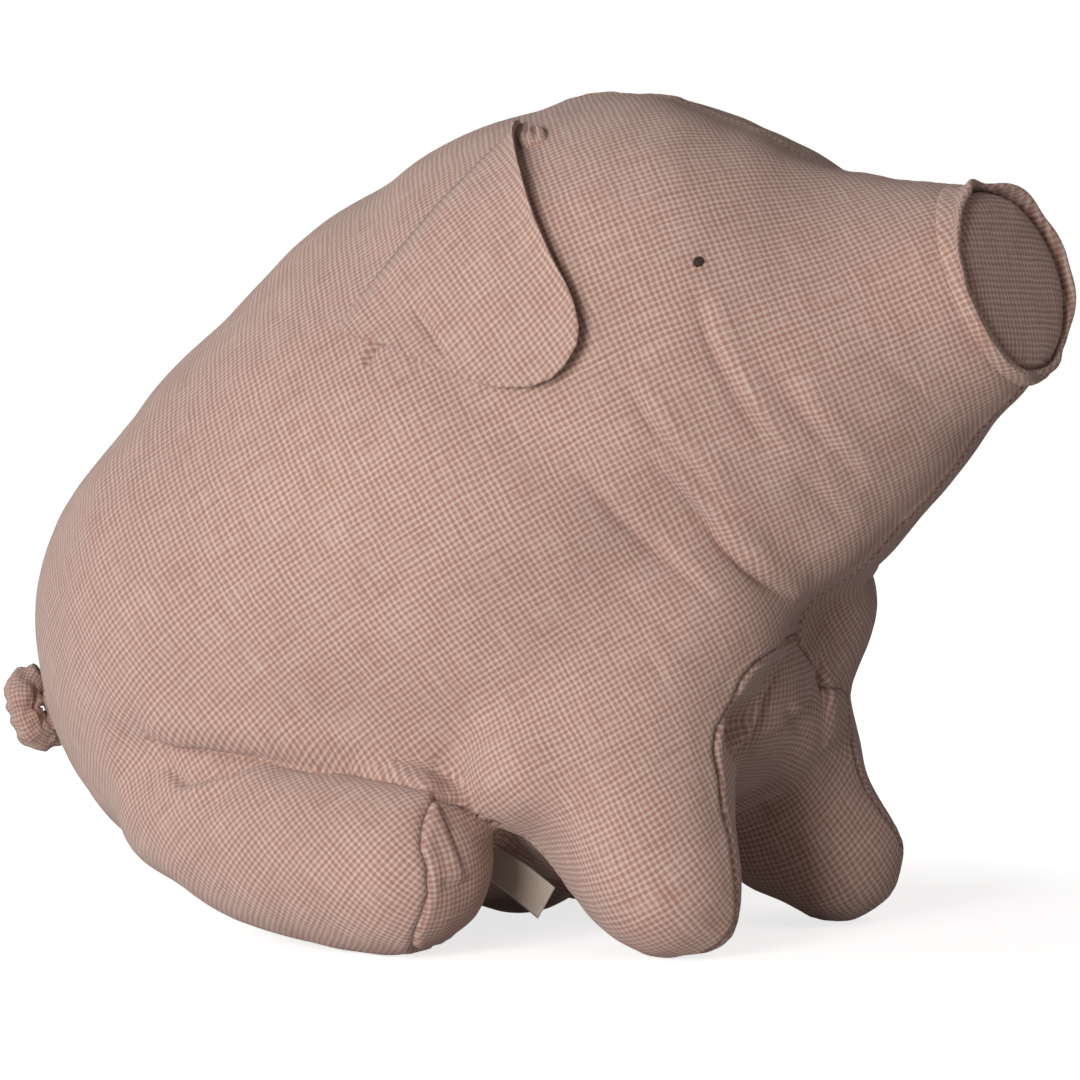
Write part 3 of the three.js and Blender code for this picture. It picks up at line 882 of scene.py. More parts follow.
# Each fold's line in pixels of the photograph's frame, and then in mm: the valley's depth and width, the
# ridge's height and width beside it and how far it hangs over. Then the ridge's side, 1 or -1, and the
# shares of the line over which the fold fades in and out.
fold_lines = {
    "cheek_long": (
        [(697, 278), (699, 300), (709, 337), (726, 372), (747, 406), (764, 430), (790, 462)],
        (4.6, 3.8, 2.6, 7, 1.6, -1, 0.45, 0.4)),
    "cheek_outer": (
        [(728, 384), (744, 409), (759, 430), (772, 452)], (2.4, 3.4, 1.4, 6, 0.6, -1, 0.4, 0.4)),
    "cheek_front": (
        [(770, 360), (790, 390), (807, 416), (828, 441), (850, 464), (872, 484)],
        (3.6, 5.0, 2.4, 8, 0.8, -1, 0.5, 0.4)),
    "cheek_low": (
        [(800, 470), (818, 492), (838, 512), (858, 530)], (2.4, 4.6, 1.6, 7, 0.5, -1, 0.5, 0.4)),
    "throat_high": (
        [(616, 360), (631, 386), (646, 413), (661, 434), (679, 453), (698, 470), (713, 487), (728, 502),
         (748, 518)], (5.0, 3.8, 2.8, 7, 2.0, -1, 0.4, 0.3)),
    "throat_low": (
        [(640, 440), (660, 468), (684, 493), (705, 516), (728, 541), (751, 562), (770, 577), (798, 598)],
        (7.4, 4.6, 5.2, 8, 3.8, -1, 0.5, 0.25)),
    "neck_back": (
        [(572, 460), (585, 476), (610, 502), (633, 525), (656, 546), (680, 568), (710, 590)],
        (4.2, 4.2, 2.4, 7, 1.4, -1, 0.4, 0.4)),
    "neck_short": ([(672, 558), (682, 571), (705, 589), (722, 602)], (1.4, 3.0, 0.8, 5, 0.4, -1, 0.5, 0.5)),
    "neck_low": ([(600, 560), (625, 590), (655, 618), (690, 648)], (1.4, 4.0, 0.9, 7, 0.3, -1, 0.5, 0.5)),
    "shoulder": ([(628, 624), (637, 638), (659, 667), (676, 690)], (1.5, 3.6, 0.9, 6, 0.4, -1, 0.5, 0.5)),
    "rim_low": ([(862, 342), (884, 355), (915, 386), (953, 413)], (1.8, 3.6, 1.2, 6, 0.5, -1, 0.5, 0.5)),
    "hip_crease": (
        [(146, 738), (170, 744), (198, 746), (235, 752), (267, 755), (311, 762), (350, 764), (396, 776),
         (423, 785), (451, 794)],
        (7.8, 3.2, 4.0, 9, 4.6, -1, 0.06, 0.26)),
    "flank_edge": (
        [(440, 795), (470, 806), (498, 827), (517, 842), (536, 863), (556, 885)],
        (5.6, 4.6, 2.4, 9, 2.8, -1, 0.3, 0.30)),
    "foot_fold": (
        [(433, 790), (441, 812), (450, 836), (459, 858), (467, 878)], (2.4, 2.4, 2.0, 4, 0.8, 1, 0.2, 0.3)),
    "foot_fold_low": (
        [(440, 880), (451, 884), (462, 884), (474, 878)], (1.8, 2.4, 1.2, 4, 0.4, -1, 0.2, 0.4)),
    "hip_tuck": (
        [(158, 760), (182, 784), (206, 778), (230, 771), (267, 757)], (4.8, 3.4, 2.4, 5, 1.4, 1, 0.3, 0.2)),
    "rump_dent": ([(196, 806), (212, 801), (230, 787), (252, 776)], (1.8, 5.0, 0.9, 8, 0.0, 1, 0.5, 0.5)),
    "leg_inner": (
        [(783, 654), (776, 677), (767, 696), (758, 723), (744, 749), (733, 758)],
        (8.0, 4.6, 3.6, 5, 3.2, 1, 0.4, 0.3)),
    "far_leg_inner": (
        [(812, 700), (800, 716), (780, 732), (760, 742)], (2.4, 3.2, 1.4, 5, 0.4, 1, 0.3, 0.4)),
    "far_leg_low": ([(738, 818), (752, 812), (770, 803), (792, 792)], (3.4, 4.0, 1.8, 6, 0.6, -1, 0.2, 0.5)),
    "ear_foot_tuck": (
        [(378, 338), (372, 347), (367, 356), (363, 366)], (4.4, 2.0, 1.8, 3.5, 1.2, 1, 0.1, 0.3)),
}


def placed_folds(tree):
    """Each fold's line on the surface, on the side that the camera sees and mirrored on the other."""
    placed = []
    for pixels, sizes in fold_lines.values():
        spots = spots_seen(pixels, tree)
        sizes = [*(size * mm for size in sizes[:5]), *sizes[5:]]
        for line, turn in ((spots, sizes[5]), (mirrored(spots), -sizes[5])):
            placed.append((*along_line(line, fold_spacing), [*sizes[:5], turn, *sizes[6:]]))
    return placed


def fold_spots(folds):
    return np.concatenate([line[::3] for line, shares, sizes in folds])


def press_folds(piece, folds):
    mesh = piece.data
    points = mesh_points(mesh)
    for fold in folds:
        press_fold(points, mesh_normals(mesh), *fold)
    set_points(mesh, points)


refine_reach = 13 * mm


def distance_to(points, spots):
    """How far each point is from the nearest spot, and which spot that is."""
    tree = KDTree(len(spots))
    for index, spot in enumerate(spots):
        tree.insert(spot, index)
    tree.balance()
    found = [tree.find(p) for p in points]
    return np.array([f[2] for f in found]), np.array([f[1] for f in found])


def refine_near(piece, spots):
    """Splits the faces near these spots into smaller ones, and the faces near the panels' edges."""
    mesh = piece.data
    spots = np.concatenate([spots, seam_spots(mesh, panel_of(face_middles(mesh)))])
    close = distance_to(mesh_points(mesh), spots)[0] < refine_reach
    with reworked(mesh) as work:
        edges = [e for e in work.edges if close[e.verts[0].index] and close[e.verts[1].index]]
        bmesh.ops.subdivide_edges(work, edges=edges, cuts=1, use_grid_fill=True)
    make_smooth(mesh)


# Seams: a groove along every panel's edge, with the cloth puffed and puckered beside it.
seam_depth = 1.4 * mm
seam_width = 1.3 * mm
seam_far = 30 * mm
seam_puff = 0.6 * mm
seam_puff_place = 4.5 * mm
seam_puff_width = 2.7 * mm
pucker_size = 7 * mm
pucker_height = 0.9 * mm
pucker_reach = 7 * mm
seed_shift = (17.3, 5.9, 11.1)


def noise_at(places, size, seed):
    """Smooth noise from about -1 to 1 at each place."""
    shift = Vector([seed * step for step in seed_shift])
    return np.array([noise.noise(Vector(p) / size + shift) for p in places])


def seam_spots(mesh, face_panels):
    """The middles of the edges where two panels meet."""
    keys = {}
    for face, panel in zip(mesh.polygons, face_panels):
        for key in face.edge_keys:
            keys.setdefault(key, []).append(panel)
    points = mesh_points(mesh)
    pairs = [key for key, panels in keys.items() if len(set(panels)) > 1]
    ends = points[np.array(pairs)]
    return np.concatenate([ends[:, 0], ends.mean(1), ends[:, 1]])


def mark_seam(piece, distances):
    """Keeps each point's distance from a seam, for the painted shade and the bump along the cloth's seam
    grooves.
    """
    layer = piece.data.attributes.new("seam", "FLOAT", "POINT")
    layer.data.foreach_set("value", np.minimum(distances, seam_far).astype(np.float32))


def clothe(piece, slot):
    """Gives a piece its cloth or thread. Cotton with no seam of its own is far from every seam."""
    piece.data.materials.append(slots[slot])
    if slot == "check_cotton" and "seam" not in piece.data.attributes:
        mark_seam(piece, np.full(len(piece.data.vertices), seam_far))


def sew_seams(piece, face_panels):
    mesh = piece.data
    points, normals = mesh_points(mesh), mesh_normals(mesh)
    spots = seam_spots(mesh, face_panels)
    distance, nearest = distance_to(points, spots)
    close = distance < 3 * pucker_reach
    moves = -seam_depth * bell(distance, 0, seam_width)
    moves += seam_puff * bell(distance, seam_puff_place, seam_puff_width)
    chosen = np.nonzero(close)[0]
    ripple = noise_at(spots[nearest[chosen]], pucker_size, 1)
    moves[chosen] += pucker_height * ripple * np.exp(-distance[chosen] / pucker_reach)
    points += normals * moves[:, None]
    points[:, 2] = np.maximum(points[:, 2], floor_rest)
    set_points(mesh, points)
    mark_seam(piece, distance)


# Stuffing: broad soft lumps and small dents all over.
lump_size = 55 * mm
lump_height = 1.3 * mm
dent_size = 16 * mm
dent_height = 0.35 * mm


def stuff(piece):
    """Moves the skin in and out a little, as loose filling does."""
    mesh = piece.data
    points, normals = mesh_points(mesh), mesh_normals(mesh)
    lumps = noise_at(points, lump_size, 2) * lump_height + noise_at(points, dent_size, 3) * dent_height
    points += normals * lumps[:, None]
    points[:, 2] = np.maximum(points[:, 2], floor_rest)
    set_points(mesh, points)


# Ear: a flap of two layers, cut to the outline that the camera sees and laid on the cheek.
ear_root_px = [(523, 120), (482, 158), (436, 204), (392, 256), (356, 300), (335, 325)]
ear_edge_px = [
    (523, 120), (517, 141), (522, 167), (531, 198), (543, 231), (557, 259), (571, 286), (580, 306),
    (585, 331), (583, 349), (571, 367), (555, 380), (535, 386), (504, 388), (478, 383), (447, 372),
    (414, 361), (392, 351), (373, 343), (355, 339), (335, 327),
]
ear_rows = 44
ear_columns = 84
ear_full_thickness = 3.4 * mm
ear_root_thickness = 0.9 * mm
ear_gap = 0.5 * mm
ear_rounding = 2.2 * mm
ear_rise = 7 * mm
ear_root_depth = 0.5 * mm
ear_lift_reach = 13 * mm
ear_wave = 0.8 * mm
ear_ripple = 0.3 * mm
ear_crease_depth = 2.4 * mm
ear_crease_width = 1.9 * mm
ear_grain_turn = math.radians(21)

# How far the edge stands off the cheek, in mm, and how freely the flap waves, by the share of the edge's
# length from the root's top end, down the cheek and back to the root's foot.
ear_lift_along_edge = [
    (0, 2.0), (0.08, 4.8), (0.30, 6.2), (0.50, 7.8), (0.60, 6.0), (0.75, 2.6), (0.9, 1.4), (1, 0.6),
]
ear_flatness_along_edge = [(0, 1), (0.6, 1), (0.8, 0.5), (1, 0.1)]
ear_middle_px = (455, 285)
ear_crease_px = [(420, 314), (428, 326), (438, 340), (447, 353)]
ear_end_shares = (0.012, 0.988)
ear_row_ease = 0.85
ear_normal_rounds = 6
ear_side_ease = 0.4 * mm
ear_least_round = 0.02
ear_wave_size = 26 * mm
ear_ripple_size = 9 * mm
ear_blend_row = 4
search_steps = 60
search_share = 0.01


def seen_spot(pixel, inward, tree):
    """Where the ray through a pixel meets a surface, drawn inward where the pixel is just off it."""
    pixel, inward = np.array(pixel, dtype=float), np.array(inward, dtype=float)
    for _ in range(search_steps):
        hit, normal = tree.ray_cast(*ray_through(pixel))[:2]
        if hit is not None:
            return hit, normal
        pixel += (inward - pixel) * search_share
    raise ValueError("no surface is seen there")


def line_at(line, shares):
    """The places at these shares of a flat line's length."""
    line = np.array(line, dtype=float)
    run = run_along(line)
    return np.stack([np.interp(shares * run[-1], run, line[:, a]) for a in range(2)], axis=1)


def closed_sheet(outer, under):
    """Two grids of points, seen from outside in rows, joined round their rim: points and faces."""
    rows, columns = outer.shape[:2]
    count = rows * columns
    points = np.concatenate([outer.reshape(-1, 3), under.reshape(-1, 3)])
    faces = []
    for row in range(rows - 1):
        for column in range(columns - 1):
            a, b = row * columns + column, row * columns + column + 1
            c, d = b + columns, a + columns
            faces.append((a, d, c, b))
            faces.append((a + count, b + count, c + count, d + count))
    rim = [*range(columns), *(row * columns + columns - 1 for row in range(1, rows))]
    rim += [*range(count - 2, count - columns - 1, -1), *(row * columns for row in range(rows - 2, 0, -1))]
    for a, b in zip(rim, rim[1:] + rim[:1]):
        faces.append((a, b, b + count, a + count))
    return points, faces


def make_ear(name, side, tree):
    """The ear as two layers, seen from outside in rows from the root to the edge."""
    shares = np.linspace(*ear_end_shares, ear_columns + 1)
    roots, edges = line_at(ear_root_px, shares), line_at(ear_edge_px, shares)
    rows = np.linspace(0, 1, ear_rows + 1) ** ear_row_ease
    pixels = roots + (edges - roots) * rows[:, None, None]
    seen = [[seen_spot(pixel, ear_middle_px, tree) for pixel in row] for row in pixels]
    spots, normals = np.moveaxis(np.array(seen), 2, 0)
    for _ in range(ear_normal_rounds):
        above, below = normals[:-2, 1:-1], normals[2:, 1:-1]
        normals[1:-1, 1:-1] = (above + below + normals[1:-1, :-2] + normals[1:-1, 2:]) / 4
    normals = unit(normals)
    flat_spots = spots.reshape(-1, 3)
    from_root, from_edge, from_top, from_foot = (
        np.linalg.norm(spots - line, axis=2) for line in (spots[:1], spots[-1:], spots[:, :1], spots[:, -1:])
    )
    from_edge = np.minimum(from_edge, np.minimum(from_top, from_foot) + ear_side_ease)
    rise = 1 - bell(from_root, 0, ear_rise)
    roundness = np.sqrt(np.clip(1 - (1 - np.clip(from_edge / ear_rounding, 0, 1)) ** 2, ear_least_round, 1))
    thickness = ear_root_thickness + (ear_full_thickness - ear_root_thickness) * rise
    half = thickness * roundness / 2
    wave = noise_at(flat_spots, ear_wave_size, 4).reshape(half.shape)
    ripple = noise_at(flat_spots, ear_ripple_size, 5).reshape(half.shape)
    freed = np.exp(-from_edge / ear_lift_reach) * rise
    lift = read_off(ear_lift_along_edge, shares) * mm
    flatness = read_off(ear_flatness_along_edge, shares)
    middle = (ear_gap + thickness / 2) * rise - ear_root_depth * (1 - rise) + freed * lift
    middle += rise * flatness * ((wave + 1) * ear_wave + ripple * ear_ripple)
    crease = along_line(spots_seen(ear_crease_px, tree), mm)[0]
    off_crease = distance_to(flat_spots, crease)[0].reshape(half.shape)
    middle -= ear_crease_depth * bell(off_crease, 0, ear_crease_width)
    points, faces = closed_sheet(*(spots + normals * (middle + h)[:, :, None] for h in (half, -half)))
    foot = unit(spots[0, -1] - spots[0, 0])
    tip = spots[-1, ear_columns // 2] - spots[0, 0]
    out = unit(tip - foot * (tip @ foot))
    flat = turned(np.stack([points @ out, points @ -foot], axis=1), ear_grain_turn)
    piece = add_piece(name, *on_side(side, points, faces))
    lay_flat(piece, flat)
    area = sum(polygon.area for polygon in piece.data.polygons) / 2
    blend = [on_hand(spots[row, ear_columns // 2], -side) for row in (0, ear_blend_row)]
    return piece, *blend, np.ptp(flat, axis=0), area


# Ear gather: where the seam ends at the top, the cloth is drawn up into a small crumpled lobe.
gather_px = (533, 137)
gather_top_px = (529, 121)
gather_across = 7.0 * mm
gather_along = 10.0 * mm
gather_height = 6.2 * mm
gather_sunk = 0.9 * mm
gather_steps = 28
gather_fold_shares = (-0.35, 0.3)
gather_fold_width = 0.2
gather_fold_slant = 0.2
gather_fold_depth = 0.42
gather_crumple = 0.2
gather_crumple_size = 0.5
gather_narrowing = 0.25
gather_cloth = 1.5
gather_underside = 0.5 * mm
gather_belly = 1.0 * mm


def make_gather(name, side, tree):
    """A small domed lobe on the seam's end, drawn in along two slanting folds."""
    middle, out = (np.array(v) for v in tree.ray_cast(*ray_through(gather_px))[:2])
    along = np.array(tree.ray_cast(*ray_through(gather_top_px))[0]) - middle
    along = unit(along - out * (along @ out))
    across = np.cross(along, out)
    level = np.linspace(-1, 1, gather_steps)
    u, v = np.meshgrid(level, level[::-1], indexing="xy")
    x, y = u * np.sqrt(1 - v**2 / 2), v * np.sqrt(1 - u**2 / 2)
    drawn = sum(bell(x - gather_fold_slant * y, fold, gather_fold_width) for fold in gather_fold_shares)
    spots = np.stack([x, y, 0 * x], axis=2).reshape(-1, 3)
    crumple = noise_at(spots, gather_crumple_size, 6).reshape(x.shape)
    dome = np.sqrt(np.clip(1 - x**2 - y**2, 0, 1))
    height = dome * gather_height * (1 - gather_fold_depth * drawn + gather_crumple * crumple) - gather_sunk
    depth = gather_sunk + gather_underside + dome * gather_belly
    x, y = x * gather_across * (1 - gather_narrowing * y), y * gather_along
    flat = middle + x[:, :, None] * across + y[:, :, None] * along
    points, faces = closed_sheet(flat + height[:, :, None] * out, flat - depth[:, :, None] * out)
    piece = add_piece(name, *on_side(side, points, faces))
    laid = np.stack([x.ravel(), y.ravel()], axis=1)
    lay_flat(piece, np.concatenate([laid, laid]) * gather_cloth)
    return piece


# Snout: its end panel is sunk behind the seam flange that stands round it.
snout_radius = 50 * mm
flange_width = 4.6 * mm
flange_proud = 10.6 * mm
snout_steps = 144
snout_angles = steps_round(snout_steps)


def on_snout(radius, angle, proud):
    """A place on the snout: out from its axis, round it from the pig's left side up, and forward."""
    outward = math.cos(angle) * np.array((0, 1, 0)) + math.sin(angle) * snout_up
    return snout_seat + radius * outward + snout_axis * proud


def uneven_round(angle, size, laps, seed):
    """A smooth unevenness that comes back to itself after one turn round the snout."""
    spot = Vector((math.cos(angle) * laps, math.sin(angle) * laps, seed * ring_shift))
    return size * noise.noise(spot)


def pinches_at(angle):
    """How near the seams at the snout's top and bottom are, from 0 to 1."""
    near = bell(math.cos(angle), 0, pinch_spread)
    return (near, 0.0) if math.sin(angle) > 0 else (0.0, near)


# The rim's section: out from the end of the snout, and forward from it, in mm.
rim_section = [
    (-1.6, -9.5), (-0.2, -7.5), (0.5, -5.0), (0.5, -2.0), (0.2, 1.0), (0.1, 3.5), (0.5, 6.0), (0.8, 8.0),
    (0.4, 9.6), (-0.5, 10.4), (-1.6, 10.3), (-2.5, 9.3), (-2.9, 7.0), (-3.0, 4.0), (-3.6, 1.5), (-4.6, 0.2),
    (-4.4, -1.0), (-3.0, -6.0),
]
rim_root = 8 * mm

# The open end looks a little to the pig's right and down. The seams draw it in and back, it curls at the top,
# and it's tucked in low down on the left.
pinch_spread = 0.26
snout_yaw = math.radians(10)
snout_pitch = math.radians(4)
rim_short = 1.5 * mm
rim_drawn_in = 2.2 * mm
rim_drawn_back = (6.5 * mm, 3.0 * mm)
rim_curl = 3.0 * mm
rim_curl_place = -0.14
rim_curl_spread = 0.24
rim_tuck = 4.0 * mm
rim_tuck_angle = math.radians(-52)
rim_tuck_spread = math.radians(26)
fit_reach = 10 * mm
fit_back = 12 * mm
fit_lap = 0.02

# How uneven the rim and the sunk panel are round the snout: the size, how often it swings, and its seed.
rim_sways = ((1.2 * mm, 1.8, 1), (0.9 * mm, 5, 2))
rim_uneven = (0.12, 3.0, 3)
disc_ripple = (0.8 * mm, 7, 5)
disc_swell = (0.9 * mm, 1.2, 6)
ring_shift = 3.7


def cloth_near(piece, spots, panel):
    """Linear rules that carry the cloth's map on from near each spot, on one panel."""
    mesh = piece.data
    places = read(mesh.uv_layers["cloth"].uv, "vector", 2)
    points = mesh_points(mesh)[corner_vertices(mesh)]
    owners = np.repeat(panel_of(face_middles(mesh)), face_sizes(mesh))
    rules = []
    for spot in spots:
        near = (np.linalg.norm(points - spot, axis=1) < fit_reach) & (owners == panel)
        gaps = points[near] - spot
        table = np.concatenate([gaps, np.ones((len(gaps), 1))], axis=1)
        rules.append(np.linalg.lstsq(table, places[near], rcond=1e-3)[0])
    return rules


def end_lean(angle):
    """How far forward the snout's end leans at its edge, round the snout."""
    aside = math.tan(snout_yaw) * math.cos(angle)
    return snout_radius * (aside + math.tan(snout_pitch) * math.sin(angle))


def skin_radii(skin):
    """How far the skin is from the snout's axis at each step round it, where the rim leaves it."""
    tree = mesh_tree(skin.data)
    radii = []
    for angle in snout_angles:
        start, middle = on_snout(3 * snout_radius, angle, -rim_root), on_snout(0, angle, -rim_root)
        hit = tree.ray_cast(Vector(start), Vector(middle - start).normalized())[0]
        radii.append(np.linalg.norm(np.array(hit) - middle))
    return radii


def lay_rim_cloth(piece, skin, forwards):
    """Carries each side panel's map on over its half of the rim, this far forward at each of its sides."""
    middles = [on_snout(snout_radius, angle, -fit_back) for angle in snout_angles]
    rules = {}
    for panel, sign in ((right_side, -1), (left_side, 1)):
        own = [step for step, angle in enumerate(snout_angles) if sign * math.cos(angle) > -fit_lap]
        fitted = cloth_near(skin, [middles[step] for step in own], panel)
        rules[panel] = dict(zip(own, fitted))
    places = []
    for step in range(snout_steps):
        ahead = (step + 1) % snout_steps
        panel = left_side if math.cos(snout_angles[step] + math.pi / snout_steps) > 0 else right_side
        for side in range(len(forwards)):
            for a, b in ((step, side), (ahead, side), (ahead, side + 1), (step, side + 1)):
                gap = snout_axis * (fit_back + forwards[min(b, len(forwards) - 1)])
                places.append(np.append(gap, 1) @ rules[panel][a])
    lay_cloth(piece.data, np.array(places))


def make_flange(skin):
    """A rolled seam allowance, drawn up where the top and bottom seams run into it."""
    section = np.array(rim_section) * mm
    sides = len(section)
    points = []
    for angle, skin_radius in zip(snout_angles, skin_radii(skin)):
        top, low = pinches_at(angle)
        sway = sum(uneven_round(angle, *swing) for swing in rim_sways)
        tall = 1 + uneven_round(angle, *rim_uneven)
        curl = rim_curl * bell(math.cos(angle), rim_curl_place, rim_curl_spread) * (math.sin(angle) > 0)
        tuck = rim_tuck * bell(math.remainder(angle - rim_tuck_angle, 2 * math.pi), 0, rim_tuck_spread)
        lean = end_lean(angle) - rim_short - tuck - rim_drawn_back[0] * top - rim_drawn_back[1] * low
        for out, up in section:
            forward = max(up, 0) / flange_proud
            back = min(max(-up / rim_root, 0), 1)
            radius = snout_radius * (1 - back) + skin_radius * back + out
            radius += (sway + curl - tuck - rim_drawn_in * (top + low)) * forward
            points.append(on_snout(radius, angle, up * (tall if up > 0 else 1) + lean * forward))
    faces = []
    for step in range(snout_steps):
        here, ahead = step * sides, (step + 1) % snout_steps * sides
        for side in range(sides):
            beside = (side + 1) % sides
            faces.append((here + side, ahead + side, ahead + beside, here + beside))
    piece = add_piece("snout_rim", points, faces)
    lay_rim_cloth(piece, skin, run_along(section) + section[0, 1])
    return piece


disc_grain_turn = math.radians(5.5)
disc_rings = 26
disc_crown = 7.2 * mm
disc_dome = 1.0 * mm
disc_edge = 12
same_place = 0.01 * mm


def make_snout_panel():
    """A slightly domed disc, sunk behind the rim and rippled where it's sewn."""
    radius = snout_radius - flange_width
    points, faces = [], []
    for ring in range(disc_rings + 1):
        share = ring / disc_rings
        inside = 1 - share**disc_edge
        for angle in snout_angles:
            crown = disc_crown * inside + disc_dome * (1 - share**2) + end_lean(angle) * share
            ripple = uneven_round(angle, *disc_ripple) * share**4 * inside
            swell = uneven_round(angle, *disc_swell) * share * (1 - share**8)
            points.append(on_snout(radius * share, angle, crown + swell + ripple))
    for ring in range(disc_rings):
        here, outer = ring * snout_steps, (ring + 1) * snout_steps
        for step in range(snout_steps):
            ahead = (step + 1) % snout_steps
            face = (here + step, outer + step, outer + ahead, here + ahead)
            faces.append(face[:3] if ring == 0 else face)
    piece = add_piece("snout_disc", points, faces)
    with reworked(piece.data) as work:
        bmesh.ops.remove_doubles(work, verts=work.verts, dist=same_place)
    make_smooth(piece.data)
    spots = mesh_points(piece.data)
    flat = np.stack([spots[:, 1], (spots - snout_seat) @ snout_up], axis=1)
    lay_flat(piece, turned(flat, disc_grain_turn))
    return piece


# Tail: a gathered tube in a tight curl, drawn up in rings of small folds.
tail_seat = np.array((-253.65, 0, 100.4)) * mm
tail_thickness = 21 * mm
tail_tip_thickness = 19 * mm
tail_curl = 12.5 * mm
tail_pitch = 22 * mm
tail_neck = 5 * mm
tail_turns = 1.25
tail_steps = 220
tail_sides = 40
tail_root_share = 0.08
tail_root_depth = 9.45 * mm
tail_opening_speed = 3
tail_neck_speed = 12
tail_soft_rounds = 8
tail_round_share = 0.045
tail_pinch_share = 0.63
tail_pinch_spread_share = 0.022
tail_pinch_depth_share = 0.3
tail_full_share = 0.96
tail_crumple_size = 8 * mm
tail_crumples_round = 1.3
tail_crumples = ((0.34, 1), (0.12, 2.3))
tail_cloth_shares = (1.2, 1.9)
thinnest = 0.2 * mm


def tail_place(share):
    """The middle of the tail at a share of its length, from inside the seam to the tip."""
    if share < tail_root_share:
        return tail_seat + np.array((tail_root_depth * (1 - share / tail_root_share), 0, 0))
    share = (share - tail_root_share) / (1 - tail_root_share)
    angle = math.pi / 2 + 2 * math.pi * tail_turns * share
    opening = tail_curl * min(1, share * tail_turns * tail_opening_speed)
    back = tail_neck * min(1, share * tail_neck_speed) + share * tail_turns * tail_pitch
    return tail_seat + np.array((-back, -opening * math.cos(angle), opening * math.sin(angle)))


def rounded_end(share, round_share):
    """The thickness that is left near a round end, from 1 before it to 0 at its tip."""
    return np.sqrt(np.clip(1 - np.clip((share - 1 + round_share) / round_share, 0, 1) ** 2, 0, 1))


def tube_faces(steps, sides, base=0):
    """The faces of a closed tube whose rings of points start at a base index."""
    faces = []
    for step in range(steps):
        here = base + step * sides
        for turn in range(sides):
            a, b = here + turn, here + (turn + 1) % sides
            faces.append((a, b, b + sides, a + sides))
    faces.append(tuple(range(base + sides - 1, base - 1, -1)))
    faces.append(tuple(range(base + steps * sides, base + (steps + 1) * sides)))
    return faces


def make_tail():
    """Rings of points along the curl, crumpled and pinched in once."""
    shares = np.linspace(0, 1, tail_steps + 1)
    middles = np.array([tail_place(share) for share in shares])
    for _ in range(tail_soft_rounds):
        middles[1:-1] = (middles[:-2] + middles[1:-1] + middles[2:]) / 3
    runs = run_along(middles)
    side_way = np.array((0.0, 1.0, 0.0))
    points = []
    for share, middle, way, run in zip(shares, middles, unit(np.gradient(middles, axis=0)), runs):
        side_way = unit(side_way - way * (side_way @ way))
        up_way = np.cross(way, side_way)
        full = tail_thickness * (1 - share) + tail_tip_thickness * share
        full *= rounded_end(share, tail_round_share)
        pinch = tail_pinch_depth_share * bell(share, tail_pinch_share, tail_pinch_spread_share)
        for angle in steps_round(tail_sides):
            across, over = math.cos(angle), math.sin(angle)
            spot = Vector((across * tail_crumples_round, over * tail_crumples_round, run / tail_crumple_size))
            crumple = sum(size * noise.noise(spot * finer) for size, finer in tail_crumples)
            radius = full / 2 * (tail_full_share + crumple - pinch)
            points.append(middle + (across * side_way + over * up_way) * max(radius, thinnest))
    piece = add_piece("curled_tail", points, tube_faces(tail_steps, tail_sides))
    index, turn = np.divmod(np.arange(tail_steps * tail_sides), tail_sides)
    ahead, over = np.array(((0, 0), (0, 1), (1, 1), (1, 0))).T
    round_tail = (turn[:, None] + over) * math.pi * tail_thickness / tail_sides * tail_cloth_shares[0]
    along_tail = runs[index[:, None] + ahead] * tail_cloth_shares[1]
    laid = np.stack([round_tail.ravel(), along_tail.ravel()], axis=1)
    lay_cloth(piece.data, np.concatenate([laid, np.zeros((2 * tail_sides, 2))]))
    return piece


# Eye: a knot of thread, wound over itself.
eye_diameter = 5.4 * mm
eye_px = (698.5, 262)
eye_strands = 7
eye_thread_share = 0.4464
eye_spread_share = 0.85
eye_rise = 0.9 * mm
eye_middle_rise = 0.6 * mm
eye_leans = (0.5, 0.56, 0.62)
shortest_share = 0.08
strand_steps = 14
strand_sides = 8


def make_eye(name, side, tree):
    """Strands of thread side by side, each bent over the knot at its own lean."""
    middle, out = (np.array(v) for v in tree.ray_cast(*ray_through(eye_px))[:2])
    if side > 0:
        middle, out = mirrored(middle), mirrored(out)
    level = unit(np.cross((0, 0, 1), out))
    up = np.cross(out, level)
    radius = eye_diameter / 2
    thread = eye_diameter / eye_strands * eye_thread_share
    points, faces = [], []
    for strand in range(eye_strands):
        lean = eye_leans[strand % len(eye_leans)]
        along = up * math.cos(lean) + level * math.sin(lean)
        aside = level * math.cos(lean) - up * math.sin(lean)
        across = (2 * strand + 1) / eye_strands - 1
        half = math.sqrt(max(shortest_share, 1 - across**2))
        line = []
        for share in np.linspace(-1, 1, strand_steps + 1):
            height = math.sqrt(1 - share**2) * (eye_rise + eye_middle_rise * half)
            flat = along * share * half + aside * across * eye_spread_share
            line.append(middle + flat * radius + out * height)
        faces.extend(tube_faces(strand_steps, strand_sides, len(points)))
        for spot, way in zip(line, unit(np.gradient(line, axis=0))):
            beside = unit(np.cross(way, out))
            above = np.cross(beside, way)
            for angle in steps_round(strand_sides):
                points.append(spot + thread * (beside * math.cos(angle) + above * math.sin(angle)))
    return add_piece(name, points, faces)


# Tag: a bare strip of ribbon, folded at its free end and sewn in beside the hind foot.
tag_start = np.array((15.74, -72.85, 48.72)) * mm
tag_length = 50 * mm
tag_width = 19 * mm
tag_thickness = 0.8 * mm
tag_root = 12 * mm
tag_lean = math.radians(33)
tag_twist = math.radians(12)
tag_steps = 30
tag_columns = 10
tag_bend = 1.6 * mm
tag_bend_turn = 2.6
tag_curl = 1.8 * mm
tag_end_share = 0.03
tag_end_thinness = 0.2


